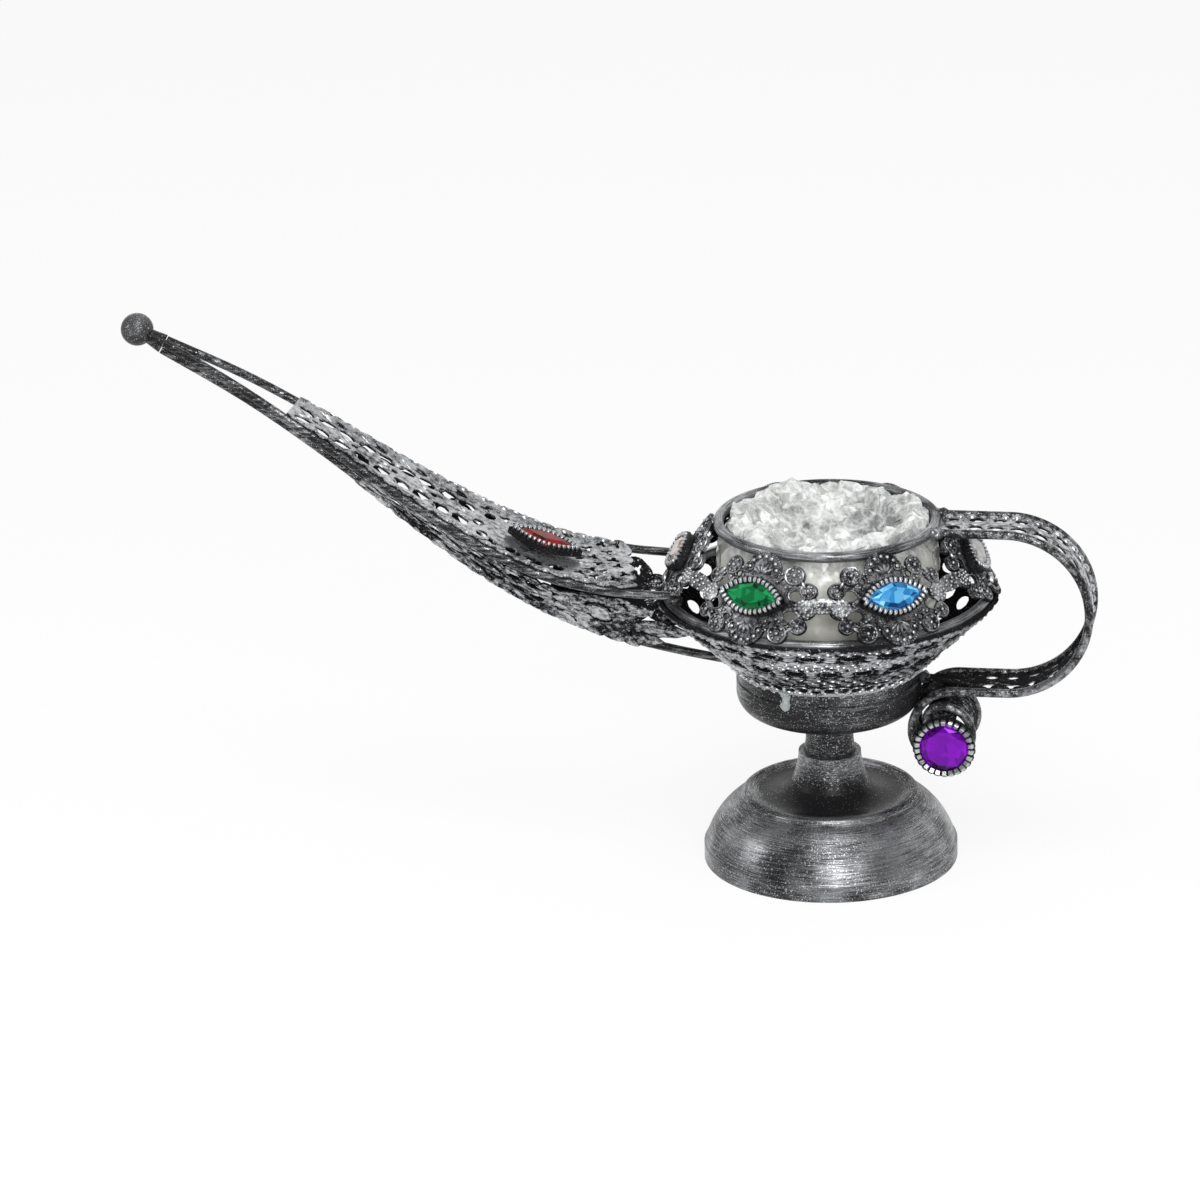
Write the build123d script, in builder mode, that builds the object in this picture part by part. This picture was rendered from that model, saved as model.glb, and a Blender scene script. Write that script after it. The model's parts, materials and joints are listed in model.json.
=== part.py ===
from build123d import *
import math
import os

os.makedirs("parts", exist_ok=True)

# A genie lamp of spun shells, soldered wire and pierced filigree, in millimetres.
# +Z is up, the spout points to -X, the handle to +X, and the origin is the centre of the foot on the table.

# Clearances
SEAT_GAP = 0.05  # between pieces that are soldered, glued or clamped together
EDGE_GAP = 0.25  # between a filigree edge and the wire beside it
SOFT_GAP = 0.4  # round the film, which lifts out

# Pedestal: the radii run outwards from the neck and the heights run up from the table
FOOT_R = 35.0
RIM_H = 5.0
RIM_STEP = 0.5
DOME_H = 12.8
BEAD_H = 2.0
BEAD_W = 2.0
DIP_W = 11.2
DIP_DEPTH = 0.9
NECK_RISE = 1.8
NECK_FLARE = 2.7
NECK_TOP_R = 8.6
NECK_H = 9.4
PEDESTAL_WALL = 1.5

# Stub and dish
SPACER_R = 7.1
SPACER_WAIST_R = 6.5
SPACER_H = 12.4
DISH_R = 25.4
DISH_H = 14.4
DISH_CORNER_R = 6.0
DISH_LIP_H = 5.0
DISH_LIP_STEP = 0.4
DISH_WALL = 1.0

# Screw that clamps the pedestal, the stub and the dish
SCREW_D = 4.0
SCREW_HEAD_D = 8.0
SCREW_HEAD_H = 2.4
SCREW_TAIL = 1.5
NUT_ACROSS_FLATS = 7.0
NUT_H = 3.2
WASHER_D = 9.0
WASHER_H = 0.8
BORE_GAP = 0.2

# Cage
CAGE_WIRE_D = 2.9
TOP_RING_R = 29.5
WAIST_RING_R = 43.9
BASKET_H = 20.3  # dish rim to waist ring
BELT_H = 19.8  # waist ring to top ring
STAMPING_T = 0.7  # thickness of every filigree stamping
BASKET_REPEATS = 24
BASKET_ROWS = [  # height up the side as a share, half length and half height of a hole, staggered or not
    (0.86, 3.2, 1.2, 0),
    (0.50, 2.4, 1.7, 1),
    (0.16, 1.9, 1.4, 0),
]
GLUE_W = 1.5
GLUE_H = 1.6
DRIP_ANGLE = -110.0
DRIP_L = 3.6
DRIP_R = 0.9
DRIP_END_R = 0.7

# Belt of links round the bowl, spaced by eye: each link is drawn about its own middle, along and up the slope
LINK_TURNS = [3.5, 63.5, 124.5, 185.0, 247.0, 303.0]  # degrees round from the handle
LINK_SPACE = 0.8
LINK_DROP = 1.25  # the links' middles lie this far below halfway between the rings
LINK_BODY_HALF_H = 8.2
FAN_R = 5.6
FAN_LAP = 1.0  # how far the fans reach past the middles of the rings
FAN_HOLE_R = 0.9
FAN_HOLE_AT = (3.9, 8.35)
PETAL_R = 2.8
PETAL_AT = (9.3, 8.2)
PETAL_HOLE_R = 0.8
PETAL_HOLE_AT = (6.9, 6.1)
WING_R = 2.3
WING_AT = (14.0, 5.0)
LINK_EYE = (2.2, 1.6)  # half length and half height of the pierced ovals beside the setting
LINK_EYE_AT = (11.5, 2.9)
LINK_TIP_R = 3.0

# Gems and their serrated settings
NAVETTE_L = 18.0
NAVETTE_W = 8.8
ROUND_GEM_D = 14.4
GEM_EDGE_H = 1.2
GEM_CROWN_H = 1.9
GEM_TABLE = 0.55  # table to girdle, a ratio of the cut
BEZEL_WALL = 1.0
BEZEL_POINT_WALL = 1.65  # along a pointed setting's long axis
ROUND_WALL = 1.2
BEZEL_H = 2.9
BEZEL_FLOOR = 0.6
NAVETTE_TEETH = 28
ROUND_TEETH = 24
TOOTH_GAP_W = 0.7
TOOTH_H = 1.3

# Spout: each row is a distance out from the waist ring, and a rise above the wires' seat on that ring
SPOUT_WIRE_D = 2.4
SPOUT_HALF_W = 17.0  # half the spread of the two upper wires on the waist ring
SPOUT_UPPER_ROUTE = [  # out, half spread, rise
    (17.5, 17.2, 0.7),
    (36.0, 16.4, 4.1),
    (54.5, 14.2, 12.3),
    (74.5, 11.4, 23.8),
    (96.5, 8.9, 38.0),
    (119.5, 5.4, 52.3),
]
SPOUT_LOWER_ROUTE = [  # out, rise
    (0.5, -22.2),
    (17.5, -18.5),
    (36.0, -11.7),
    (54.5, -1.3),
    (74.5, 13.5),
    (96.5, 31.7),
    (119.5, 48.0),
]
SPOUT_TIP = (148.9, 66.6)  # out and rise of the ball's centre
SPOUT_TIP_SLOPE = 29.0
SPOUT_SEAT_DROP = 1.7  # the lower wire meets the dish this far below its rim
TIP_BALL_D = 9.0
COLLAR_L = 3.6
COLLAR_R = 2.7
COLLAR_TIP_R = 2.1
COLLAR_END_GAP = 0.35
PANEL_LIFT = 0.7  # the panels lie this far outside the wires' centres
TOP_PANEL_OUT = (8.0, 108.0)
SIDE_PANEL_OUT = (0.5, 92.0)
PANEL_STEP = 9.0
PANEL_HOLE_L = 5.4
PANEL_HOLE_SHARE = 0.2  # of the half width, which narrows along the spout
PANEL_END_SHARES = (0.55, 1.0, 0.5)  # width at the root, beside it and at the far end, of the full width
LEAF_END_SHARES = (0.15, 0.6, 0.5)
SPOUT_GEM_OUT = 38.5
SPOUT_BEZEL_LIFT = 0.85  # a flat setting on a hollow curve stands this far off its middle

# Handle: the loop's top is level with the top ring and its bottom with the dish's side
HANDLE_WIRE_D = 2.4
HANDLE_HALF_W = 7.7
HANDLE_LOOP_X = 49.0
HANDLE_DROP = 5.6  # the bottom run lies this far below the dish's rim
HANDLE_BAND_HOLES = 9
HANDLE_HOLE_D = 4.4
HANDLE_HOLE_W = 3.1
SCROLL_TUCK = 1.8  # how far the scroll reaches in below the dish's side
SCROLL_RADII = [11.7, 8.6, 7.8, 8.2, 4.2, 4.0, 3.4]  # one for each quarter turn
TAB_W = 8.0
TAB_T = 1.4
TAB_LAP = 4.0
SCROLL_GEM_LEFT = 2.6
SCROLL_GEM_DOWN = 3.6

# Film
FILM_RISE = 3.0  # above the top ring
FILM_FLARE_H = 12.0
FILM_CREST_W = 6.0
FILM_HOLLOW_DEPTH = 16.0
FILM_FLOOR_R = 12.0

# Worked-out heights and places
GROOVE_Z = RIM_H + DOME_H
CREST_Z = GROOVE_Z + BEAD_H
NECK_FOOT_R = NECK_TOP_R + NECK_FLARE
CREST_R = NECK_FOOT_R + DIP_W
GROOVE_R = CREST_R + BEAD_W
PEDESTAL_H = CREST_Z + NECK_RISE + NECK_H
DISH_Z = PEDESTAL_H + SPACER_H
DISH_TOP = DISH_Z + DISH_H
WAIST_Z = DISH_TOP + BASKET_H
TOP_Z = WAIST_Z + BELT_H
SCREW_HOLE_R = SCREW_D / 2 + BORE_GAP
CAGE_WIRE_R = CAGE_WIRE_D / 2
LIP_R = DISH_R - DISH_LIP_STEP
HANDLE_WIRE_R = HANDLE_WIRE_D / 2
HANDLE_BOTTOM = DISH_TOP - HANDLE_DROP
LOOP_R = (TOP_Z - HANDLE_BOTTOM) / 2
SCROLL_X = DISH_R - SCROLL_TUCK + SCROLL_RADII[0]
RING_EDGE = TOP_RING_R + CAGE_WIRE_R
HANDLE_START = math.sqrt(RING_EDGE**2 - (HANDLE_HALF_W - HANDLE_WIRE_R) ** 2) + SEAT_GAP
BAND_HALF_W = HANDLE_HALF_W - HANDLE_WIRE_R - EDGE_GAP


def save(builder, name):
    """Labels a finished piece and writes it under its name."""
    builder.part.label = name
    export_step(builder.part, f"parts/{name}.step")


def largest_radii(points):
    """The largest bend at each inner point of a route that leaves a straight stretch on both sides."""
    radii = []
    for before, here, after in zip(points, points[1:], points[2:]):
        arrive, leave = here - before, after - here
        half_turn = math.radians(arrive.get_angle(leave)) / 2
        radii.append(0.45 * min(arrive.length, leave.length) / math.tan(half_turn))
    return radii


def bent_wire(points):
    """A path of straight runs joined by tangent arcs."""
    with BuildLine() as route:
        FilletPolyline(*points, radius=largest_radii(points))
    return route.wires()[0]


def tube(path, diameter):
    """Sweeps a round wire along a path into the part being built."""
    with BuildSketch(Plane(origin=path @ 0, z_dir=path % 0)) as section:
        Circle(diameter / 2)
    sweep(section.sketch, path=path)


def at_x(path, x):
    """The point of a spout wire at a given X, found by halving: the wires run steadily towards -X."""
    low, high = 0.0, 1.0
    for _ in range(40):
        middle = (low + high) / 2
        if (path @ middle).X > x:
            low = middle
        else:
            high = middle
    return path @ low, path % low


# Pedestal base


def pedestal_outline(margin):
    """The pedestal's outer outline, closed a margin past the axis and the table."""
    foot_z = CREST_Z + NECK_RISE
    with BuildLine() as outline:
        Line((-margin, PEDESTAL_H), (NECK_TOP_R, PEDESTAL_H))
        neck_middle = (NECK_TOP_R + 0.25 * NECK_FLARE, foot_z + NECK_H / 2)
        ThreePointArc((NECK_TOP_R, PEDESTAL_H), neck_middle, (NECK_FOOT_R, foot_z))
        dip_middle = (NECK_FOOT_R + DIP_W / 2, CREST_Z - DIP_DEPTH)
        ThreePointArc((NECK_FOOT_R, foot_z), dip_middle, (CREST_R, CREST_Z))
        bead_middle = (CREST_R + 0.75 * BEAD_W, CREST_Z - 0.25 * BEAD_H)
        ThreePointArc((CREST_R, CREST_Z), bead_middle, (GROOVE_R, GROOVE_Z))
        dome_foot = (FOOT_R - RIM_STEP, RIM_H)
        dome_w = dome_foot[0] - GROOVE_R
        dome_middle = (GROOVE_R + 0.6 * dome_w, RIM_H + 0.6 * DOME_H)
        ThreePointArc((GROOVE_R, GROOVE_Z), dome_middle, dome_foot)
        Polyline(
            dome_foot,
            (FOOT_R, RIM_H - RIM_STEP),
            (FOOT_R, -margin),
            (-margin, -margin),
            (-margin, PEDESTAL_H),
        )
    return outline.edges()


with BuildPart() as pedestal_base:
    with BuildSketch(Plane.XZ):
        make_face(pedestal_outline(0))
    revolve(axis=Axis.Z)
    with BuildSketch(Plane.XZ):
        make_face(pedestal_outline(PEDESTAL_WALL))
        offset(amount=-PEDESTAL_WALL, kind=Kind.INTERSECTION)
    revolve(axis=Axis.Z, mode=Mode.SUBTRACT)
    with Locations((0, 0, PEDESTAL_H)):
        Hole(SCREW_HOLE_R, depth=2 * PEDESTAL_WALL)
save(pedestal_base, "pedestal_base")

# Stub between the pedestal and the dish

with BuildPart() as neck_spacer:
    with BuildSketch(Plane.XZ):
        with BuildLine():
            waist = (SPACER_WAIST_R, PEDESTAL_H + SPACER_H / 2)
            side = ThreePointArc((SPACER_R, PEDESTAL_H), waist, (SPACER_R, DISH_Z))
            Polyline(side @ 1, (SCREW_HOLE_R, DISH_Z), (SCREW_HOLE_R, PEDESTAL_H), side @ 0)
        make_face()
    revolve(axis=Axis.Z)
save(neck_spacer, "neck_spacer")

# Dish


def dish_outline(margin):
    """The dish's outer outline, closed a margin past the axis and the rim."""
    with BuildLine() as outline:
        Line((-margin, DISH_Z), (DISH_R - DISH_CORNER_R, DISH_Z))
        centre = (DISH_R - DISH_CORNER_R, DISH_Z + DISH_CORNER_R)
        CenterArc(centre, DISH_CORNER_R, -90, 90)
        Polyline(
            (DISH_R, DISH_Z + DISH_CORNER_R),
            (DISH_R, DISH_TOP - DISH_LIP_H),
            (LIP_R, DISH_TOP - DISH_LIP_H + DISH_LIP_STEP),
            (LIP_R, DISH_TOP + margin),
            (-margin, DISH_TOP + margin),
            (-margin, DISH_Z),
        )
    return outline.edges()


with BuildPart() as dish:
    with BuildSketch(Plane.XZ):
        make_face(dish_outline(0))
    revolve(axis=Axis.Z)
    with BuildSketch(Plane.XZ):
        make_face(dish_outline(DISH_WALL))
        offset(amount=-DISH_WALL, kind=Kind.INTERSECTION)
    revolve(axis=Axis.Z, mode=Mode.SUBTRACT)
    with Locations((0, 0, DISH_Z + DISH_WALL)):
        Hole(SCREW_HOLE_R, depth=2 * DISH_WALL)
save(dish, "dish")

# Screw, washer and nut on the lamp's axis

SCREW_SEAT_Z = DISH_Z + DISH_WALL
NUT_SEAT_Z = PEDESTAL_H - PEDESTAL_WALL - WASHER_H

with BuildPart() as centre_screw:
    with BuildSketch(Plane.XY.offset(SCREW_SEAT_Z)):
        Circle(SCREW_HEAD_D / 2)
    extrude(amount=SCREW_HEAD_H)
    fillet(centre_screw.edges().group_by(Axis.Z)[-1], SCREW_HEAD_H / 2)
    with BuildSketch(Plane.XY.offset(SCREW_SEAT_Z)):
        Circle(SCREW_D / 2)
    extrude(amount=-(SCREW_SEAT_Z - NUT_SEAT_Z + NUT_H + SCREW_TAIL))
save(centre_screw, "centre_screw")

with BuildPart() as screw_washer:
    with BuildSketch(Plane.XY.offset(NUT_SEAT_Z)):
        Circle(WASHER_D / 2)
        Circle(SCREW_HOLE_R, mode=Mode.SUBTRACT)
    extrude(amount=WASHER_H)
save(screw_washer, "screw_washer")

with BuildPart() as screw_nut:
    with BuildSketch(Plane.XY.offset(NUT_SEAT_Z)):
        RegularPolygon(NUT_ACROSS_FLATS / 2, 6, major_radius=False)
        Circle(SCREW_D / 2 + SEAT_GAP, mode=Mode.SUBTRACT)
    extrude(amount=-NUT_H)
save(screw_nut, "screw_nut")

# Ring wires

with BuildPart() as top_ring:
    with Locations((0, 0, TOP_Z)):
        Torus(TOP_RING_R, CAGE_WIRE_R)
save(top_ring, "top_ring")

with BuildPart() as waist_ring:
    with Locations((0, 0, WAIST_Z)):
        Torus(WAIST_RING_R, CAGE_WIRE_R)
save(waist_ring, "waist_ring")

# Spout wires, which also notch the links and the glue that they pass

SPOUT_WIRE_R = SPOUT_WIRE_D / 2
SPOUT_ROOT_X = -math.sqrt(WAIST_RING_R**2 - SPOUT_HALF_W**2)
SPOUT_ROOT_Z = WAIST_Z + CAGE_WIRE_R + SPOUT_WIRE_R + SEAT_GAP
TIP_AXIS = Vector(-math.cos(math.radians(SPOUT_TIP_SLOPE)), 0, math.sin(math.radians(SPOUT_TIP_SLOPE)))
TIP_UP = Vector(TIP_AXIS.Z, 0, -TIP_AXIS.X)
BALL_CENTRE = Vector(SPOUT_ROOT_X - SPOUT_TIP[0], 0, SPOUT_ROOT_Z + SPOUT_TIP[1])
COLLAR_FOOT = BALL_CENTRE - TIP_AXIS * (TIP_BALL_D / 2 + COLLAR_L)
WIRES_END = COLLAR_FOOT - TIP_AXIS * COLLAR_END_GAP
TRIAD = SPOUT_WIRE_R + EDGE_GAP  # half the pitch of the three wires where they meet


def upper_route(side):
    """Points of an upper spout wire, from the waist ring to the tip. Side is -1 in front and 1 behind."""
    points = [Vector(SPOUT_ROOT_X, side * SPOUT_HALF_W, SPOUT_ROOT_Z)]
    for out, half_w, rise in SPOUT_UPPER_ROUTE:
        points.append(Vector(SPOUT_ROOT_X - out, side * half_w, SPOUT_ROOT_Z + rise))
    points.append(WIRES_END + Vector(0, side * TRIAD, 0) + TIP_UP * (TRIAD * math.tan(math.pi / 6)))
    return points


def lower_route():
    """Points of the lower spout wire, from the dish's side to the tip."""
    points = [Vector(-LIP_R - EDGE_GAP, 0, DISH_TOP - SPOUT_SEAT_DROP)]
    for out, rise in SPOUT_LOWER_ROUTE:
        points.append(Vector(SPOUT_ROOT_X - out, 0, SPOUT_ROOT_Z + rise))
    points.append(WIRES_END - TIP_UP * (TRIAD / math.cos(math.pi / 6)))
    return points


front_path = bent_wire(upper_route(-1))
back_path = bent_wire(upper_route(1))
bottom_path = bent_wire(lower_route())

with BuildPart() as spout_wire_front:
    tube(front_path, SPOUT_WIRE_D)
save(spout_wire_front, "spout_wire_front")

with BuildPart() as spout_wire_back:
    tube(back_path, SPOUT_WIRE_D)
save(spout_wire_back, "spout_wire_back")

with BuildPart() as spout_wire_bottom:
    tube(bottom_path, SPOUT_WIRE_D)
save(spout_wire_bottom, "spout_wire_bottom")

# Ball and collar at the spout's tip

with BuildPart() as spout_tip_ball:
    with Locations(BALL_CENTRE):
        Sphere(TIP_BALL_D / 2)
save(spout_tip_ball, "spout_tip_ball")

with BuildPart() as spout_tip_collar:
    seat_r = TIP_BALL_D / 2 + SEAT_GAP
    foot = TIP_BALL_D / 2 + COLLAR_L
    with BuildSketch(Plane(origin=BALL_CENTRE, x_dir=-TIP_AXIS, z_dir=(0, 1, 0))):
        with BuildLine():
            seat = CenterArc((0, 0), seat_r, 0, math.degrees(math.asin(COLLAR_TIP_R / seat_r)))
            Polyline(seat @ 1, (foot, COLLAR_R), (foot, 0), seat @ 0)
        make_face()
    revolve(axis=Axis(BALL_CENTRE, TIP_AXIS))
save(spout_tip_collar, "spout_tip_collar")

# Filigree basket, a cone outside the waist ring and the dish's rim

basket_run = Vector(WAIST_RING_R - LIP_R, 0, BASKET_H)
basket_out = Vector(basket_run.Z, 0, -basket_run.X).normalized()
basket_top = Vector(WAIST_RING_R, 0, WAIST_Z) + basket_out * (CAGE_WIRE_R + SEAT_GAP)
basket_foot = Vector(LIP_R + EDGE_GAP, 0, DISH_TOP)
basket_side = basket_top - basket_foot

with BuildPart() as basket_holes:
    for share, half_l, half_h, staggered in BASKET_ROWS:
        turn = staggered * 180 / BASKET_REPEATS
        here = (basket_foot + basket_side * share).rotate(Axis.Z, turn)
        outward = basket_out.rotate(Axis.Z, turn)
        along = Vector(0, 1, 0).rotate(Axis.Z, turn)
        with BuildSketch(Plane(origin=here, x_dir=along, z_dir=outward)):
            Ellipse(half_l, half_h)
        extrude(amount=2 * STAMPING_T, both=True)

with BuildPart() as basket:
    with BuildSketch(Plane.XZ):
        with BuildLine():
            Polyline(
                (basket_foot.X, basket_foot.Z),
                (basket_top.X, basket_top.Z),
                (basket_top.X + basket_out.X * STAMPING_T, basket_top.Z + basket_out.Z * STAMPING_T),
                (basket_foot.X + basket_out.X * STAMPING_T, basket_foot.Z + basket_out.Z * STAMPING_T),
                close=True,
            )
        make_face()
    revolve(axis=Axis.Z)
    with PolarLocations(0, BASKET_REPEATS):
        add(basket_holes.part, mode=Mode.SUBTRACT)
save(basket, "basket")

# Glue between the dish's lip and the basket, with its drip, cleared for the spout's lower wire

GLUE_TOP = DISH_TOP - STAMPING_T

with BuildPart() as glue_bead:
    with BuildSketch(Plane.XZ):
        with BuildLine():
            Polyline(
                (LIP_R + SEAT_GAP, GLUE_TOP),
                (LIP_R + GLUE_W, GLUE_TOP),
                (LIP_R + SEAT_GAP, GLUE_TOP - GLUE_H),
                close=True,
            )
        make_face()
    revolve(axis=Axis.Z)
    drip_r = LIP_R + SEAT_GAP + DRIP_R
    drip_at = (drip_r * math.cos(math.radians(DRIP_ANGLE)), drip_r * math.sin(math.radians(DRIP_ANGLE)))
    with BuildSketch(Plane.XY.offset(GLUE_TOP - GLUE_H / 2)):
        with Locations(drip_at):
            Circle(DRIP_R)
    extrude(amount=-DRIP_L)
    fillet(glue_bead.edges().group_by(Axis.Z)[0], DRIP_END_R)
    with Locations(bottom_path @ 0):
        Sphere(SPOUT_WIRE_R + GLUE_W, mode=Mode.SUBTRACT)
save(glue_bead, "glue_bead")

# Belt links: a cone just outside both ring wires, cut to a scalloped outline

belt_run = Vector(TOP_RING_R - WAIST_RING_R, 0, BELT_H)
belt_out = Vector(belt_run.Z, 0, -belt_run.X).normalized()
belt_up = belt_run.normalized()
belt_inner = belt_out * (CAGE_WIRE_R + SEAT_GAP)
belt_outer = belt_inner + belt_out * STAMPING_T
belt_waist = Vector(WAIST_RING_R, 0, WAIST_Z)
belt_middle = belt_waist + belt_run * 0.5 + belt_outer
belt_low = belt_middle - belt_up * LINK_DROP
HALF_SLANT = belt_run.length / 2
FAN_V = HALF_SLANT - FAN_R + FAN_LAP
LINK_STEPS = [after - turn for turn, after in zip(LINK_TURNS, LINK_TURNS[1:] + [LINK_TURNS[0] + 360])]
LINK_HALF_W = belt_middle.X * math.sin(math.radians(min(LINK_STEPS) / 2)) - LINK_SPACE
LINK_PLANE = Plane(origin=belt_low, x_dir=(0, 1, 0), z_dir=belt_out)


def both_ways(u, v):
    """A point and its mirror images, for what repeats about both of a link's centre lines."""
    return [(u, v), (-u, v), (u, -v), (-u, -v)]


with BuildPart() as link_blank:
    with BuildSketch(Plane.XZ):
        with BuildLine():
            lap = belt_up * (FAN_R + LINK_DROP)
            corners = [belt_waist + belt_inner - lap, belt_waist + belt_run + belt_inner + lap]
            corners += [belt_waist + belt_run + belt_outer + lap, belt_waist + belt_outer - lap]
            Polyline(*[(corner.X, corner.Z) for corner in corners], close=True)
        make_face()
    revolve(axis=Axis.Z)
    with BuildSketch(LINK_PLANE):
        Ellipse(LINK_HALF_W - LINK_TIP_R, LINK_BODY_HALF_H)
        with Locations((0, FAN_V), (0, -FAN_V)):
            Circle(FAN_R)
        with Locations(*both_ways(*PETAL_AT)):
            Circle(PETAL_R)
        with Locations(*both_ways(*WING_AT)):
            Circle(WING_R)
        with Locations((LINK_HALF_W - LINK_TIP_R, 0), (LINK_TIP_R - LINK_HALF_W, 0)):
            Circle(LINK_TIP_R)
        with Locations(*both_ways(*LINK_EYE_AT)):
            Ellipse(*LINK_EYE, mode=Mode.SUBTRACT)
        with Locations(*both_ways(*PETAL_HOLE_AT)):
            Circle(PETAL_HOLE_R, mode=Mode.SUBTRACT)
        with Locations(*both_ways(*FAN_HOLE_AT)):
            Circle(FAN_HOLE_R, mode=Mode.SUBTRACT)
    extrude(amount=HALF_SLANT / 2, both=True, mode=Mode.INTERSECT)

# Serrated settings and gems, made on the table and then placed


def navette(length, width):
    """A pointed oval, as two arcs."""
    with BuildLine() as outline:
        ThreePointArc((-length / 2, 0), (0, width / 2), (length / 2, 0))
        ThreePointArc((length / 2, 0), (0, -width / 2), (-length / 2, 0))
    make_face(outline.edges())
    return outline.wires()[0]


def tooth_gaps(outline, count):
    """Places of the gaps between teeth, evenly round a setting's outline."""
    places = []
    for index in range(count):
        share = (index + 0.5) / count
        place = outline @ share + Vector(0, 0, BEZEL_H)
        places.append(Plane(origin=place, x_dir=outline % share, z_dir=(0, 0, 1)).location)
    return places


GEM_Z = BEZEL_FLOOR + SEAT_GAP

with BuildPart() as navette_bezel:
    with BuildSketch():
        navette_edge = navette(NAVETTE_L + 2 * BEZEL_POINT_WALL, NAVETTE_W + 2 * BEZEL_WALL)
    extrude(amount=BEZEL_H)
    with BuildSketch(Plane.XY.offset(BEZEL_FLOOR)):
        navette(NAVETTE_L + 2 * SEAT_GAP, NAVETTE_W + 2 * SEAT_GAP)
    extrude(amount=BEZEL_H, mode=Mode.SUBTRACT)
    with Locations(*tooth_gaps(navette_edge, NAVETTE_TEETH)):
        Box(TOOTH_GAP_W, BEZEL_WALL, 2 * TOOTH_H, mode=Mode.SUBTRACT)

with BuildPart() as navette_gem:
    with BuildSketch(Plane.XY.offset(GEM_Z)):
        navette(NAVETTE_L, NAVETTE_W)
    extrude(amount=GEM_EDGE_H)
    with BuildSketch(Plane.XY.offset(GEM_Z + GEM_EDGE_H)):
        navette(NAVETTE_L, NAVETTE_W)
    with BuildSketch(Plane.XY.offset(GEM_Z + GEM_EDGE_H + GEM_CROWN_H)):
        navette(NAVETTE_L * GEM_TABLE, NAVETTE_W * GEM_TABLE)
    loft()

with BuildPart() as round_bezel:
    with BuildSketch():
        round_edge = Circle(ROUND_GEM_D / 2 + ROUND_WALL).wires()[0]
    extrude(amount=BEZEL_H)
    with BuildSketch(Plane.XY.offset(BEZEL_FLOOR)):
        Circle(ROUND_GEM_D / 2 + SEAT_GAP)
    extrude(amount=BEZEL_H, mode=Mode.SUBTRACT)
    with Locations(*tooth_gaps(round_edge, ROUND_TEETH)):
        Box(TOOTH_GAP_W, ROUND_WALL, 2 * TOOTH_H, mode=Mode.SUBTRACT)

with BuildPart() as round_gem:
    with BuildSketch(Plane.XY.offset(GEM_Z)):
        Circle(ROUND_GEM_D / 2)
    extrude(amount=GEM_EDGE_H)
    with BuildSketch(Plane.XY.offset(GEM_Z + GEM_EDGE_H)):
        Circle(ROUND_GEM_D / 2)
    with BuildSketch(Plane.XY.offset(GEM_Z + GEM_EDGE_H + GEM_CROWN_H)):
        Circle(ROUND_GEM_D / 2 * GEM_TABLE)
    loft()


def placed(made, place, name):
    """Saves a copy of a made piece at a place."""
    with BuildPart() as copy:
        with Locations(place):
            add(made.part)
    save(copy, name)


# Room round the spout's and the handle's wires, to notch the links that they pass

with BuildPart() as wire_room:
    for path in (front_path, back_path):
        with BuildSketch(Plane(origin=path @ 0, z_dir=path % 0)):
            Circle(SPOUT_WIRE_R + EDGE_GAP)
        extrude(amount=CAGE_WIRE_D, both=True)
    with BuildSketch(Plane.YZ.offset(TOP_RING_R)):
        with Locations((0, TOP_Z - HANDLE_WIRE_R - EDGE_GAP)):
            Rectangle(
                2 * (HANDLE_HALF_W + HANDLE_WIRE_R + EDGE_GAP),
                HANDLE_WIRE_D + CAGE_WIRE_D + FAN_R,
                align=(Align.CENTER, Align.MIN),
            )
    extrude(amount=FAN_R + CAGE_WIRE_D)

LINK_SEAT = Plane(origin=belt_low + belt_out * SEAT_GAP, x_dir=(0, 1, 0), z_dir=belt_out)

for number, degrees in enumerate(LINK_TURNS, start=1):
    turn = Location((0, 0, 0), (0, 0, degrees))
    with BuildPart() as belt_link:
        with Locations(turn):
            add(link_blank.part)
        add(wire_room.part, mode=Mode.SUBTRACT)
    save(belt_link, f"belt_link_{number}")
    placed(navette_bezel, turn * LINK_SEAT.location, f"belt_bezel_{number}")
    placed(navette_gem, turn * LINK_SEAT.location, f"belt_gem_{number}")

# Spout panels: ruled strips between the wires, pierced right through


def stations(limits):
    """Even stations along the spout, as X positions from the waist ring outwards."""
    count = round((limits[1] - limits[0]) / PANEL_STEP)
    return [SPOUT_ROOT_X - limits[0] - (limits[1] - limits[0]) * i / count for i in range(count + 1)]


def end_share(index, count, shares):
    """How much of the full width a panel has at a station: its ends are drawn in."""
    if index < 2:
        return shares[index]
    return shares[2] if index == count - 1 else 1.0


with BuildPart() as spout_top_panel:
    top_stations = stations(TOP_PANEL_OUT)
    for index, x in enumerate(top_stations):
        point, along = at_x(front_path, x)
        level = Vector(along.X, 0, along.Z).normalized()
        up = Vector(level.Z, 0, -level.X)
        half_w = (-point.Y - SPOUT_WIRE_R - EDGE_GAP) * end_share(index, len(top_stations), PANEL_END_SHARES)
        middle = Vector(point.X, 0, point.Z) + up * PANEL_LIFT
        with BuildSketch(Plane(origin=middle, x_dir=(0, 1, 0), z_dir=level)):
            Rectangle(2 * half_w, STAMPING_T)
    loft(ruled=True)
    for x in top_stations[1:-1]:
        point, _ = at_x(front_path, x - PANEL_STEP / 2)
        half_w = -point.Y - SPOUT_WIRE_R - EDGE_GAP
        with BuildSketch(Plane.XY.offset(point.Z)):
            with Locations((point.X, half_w / 2), (point.X, -half_w / 2)):
                Ellipse(PANEL_HOLE_L / 2, half_w * PANEL_HOLE_SHARE)
        extrude(amount=PANEL_STEP, both=True, mode=Mode.SUBTRACT)
save(spout_top_panel, "spout_top_panel")

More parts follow.
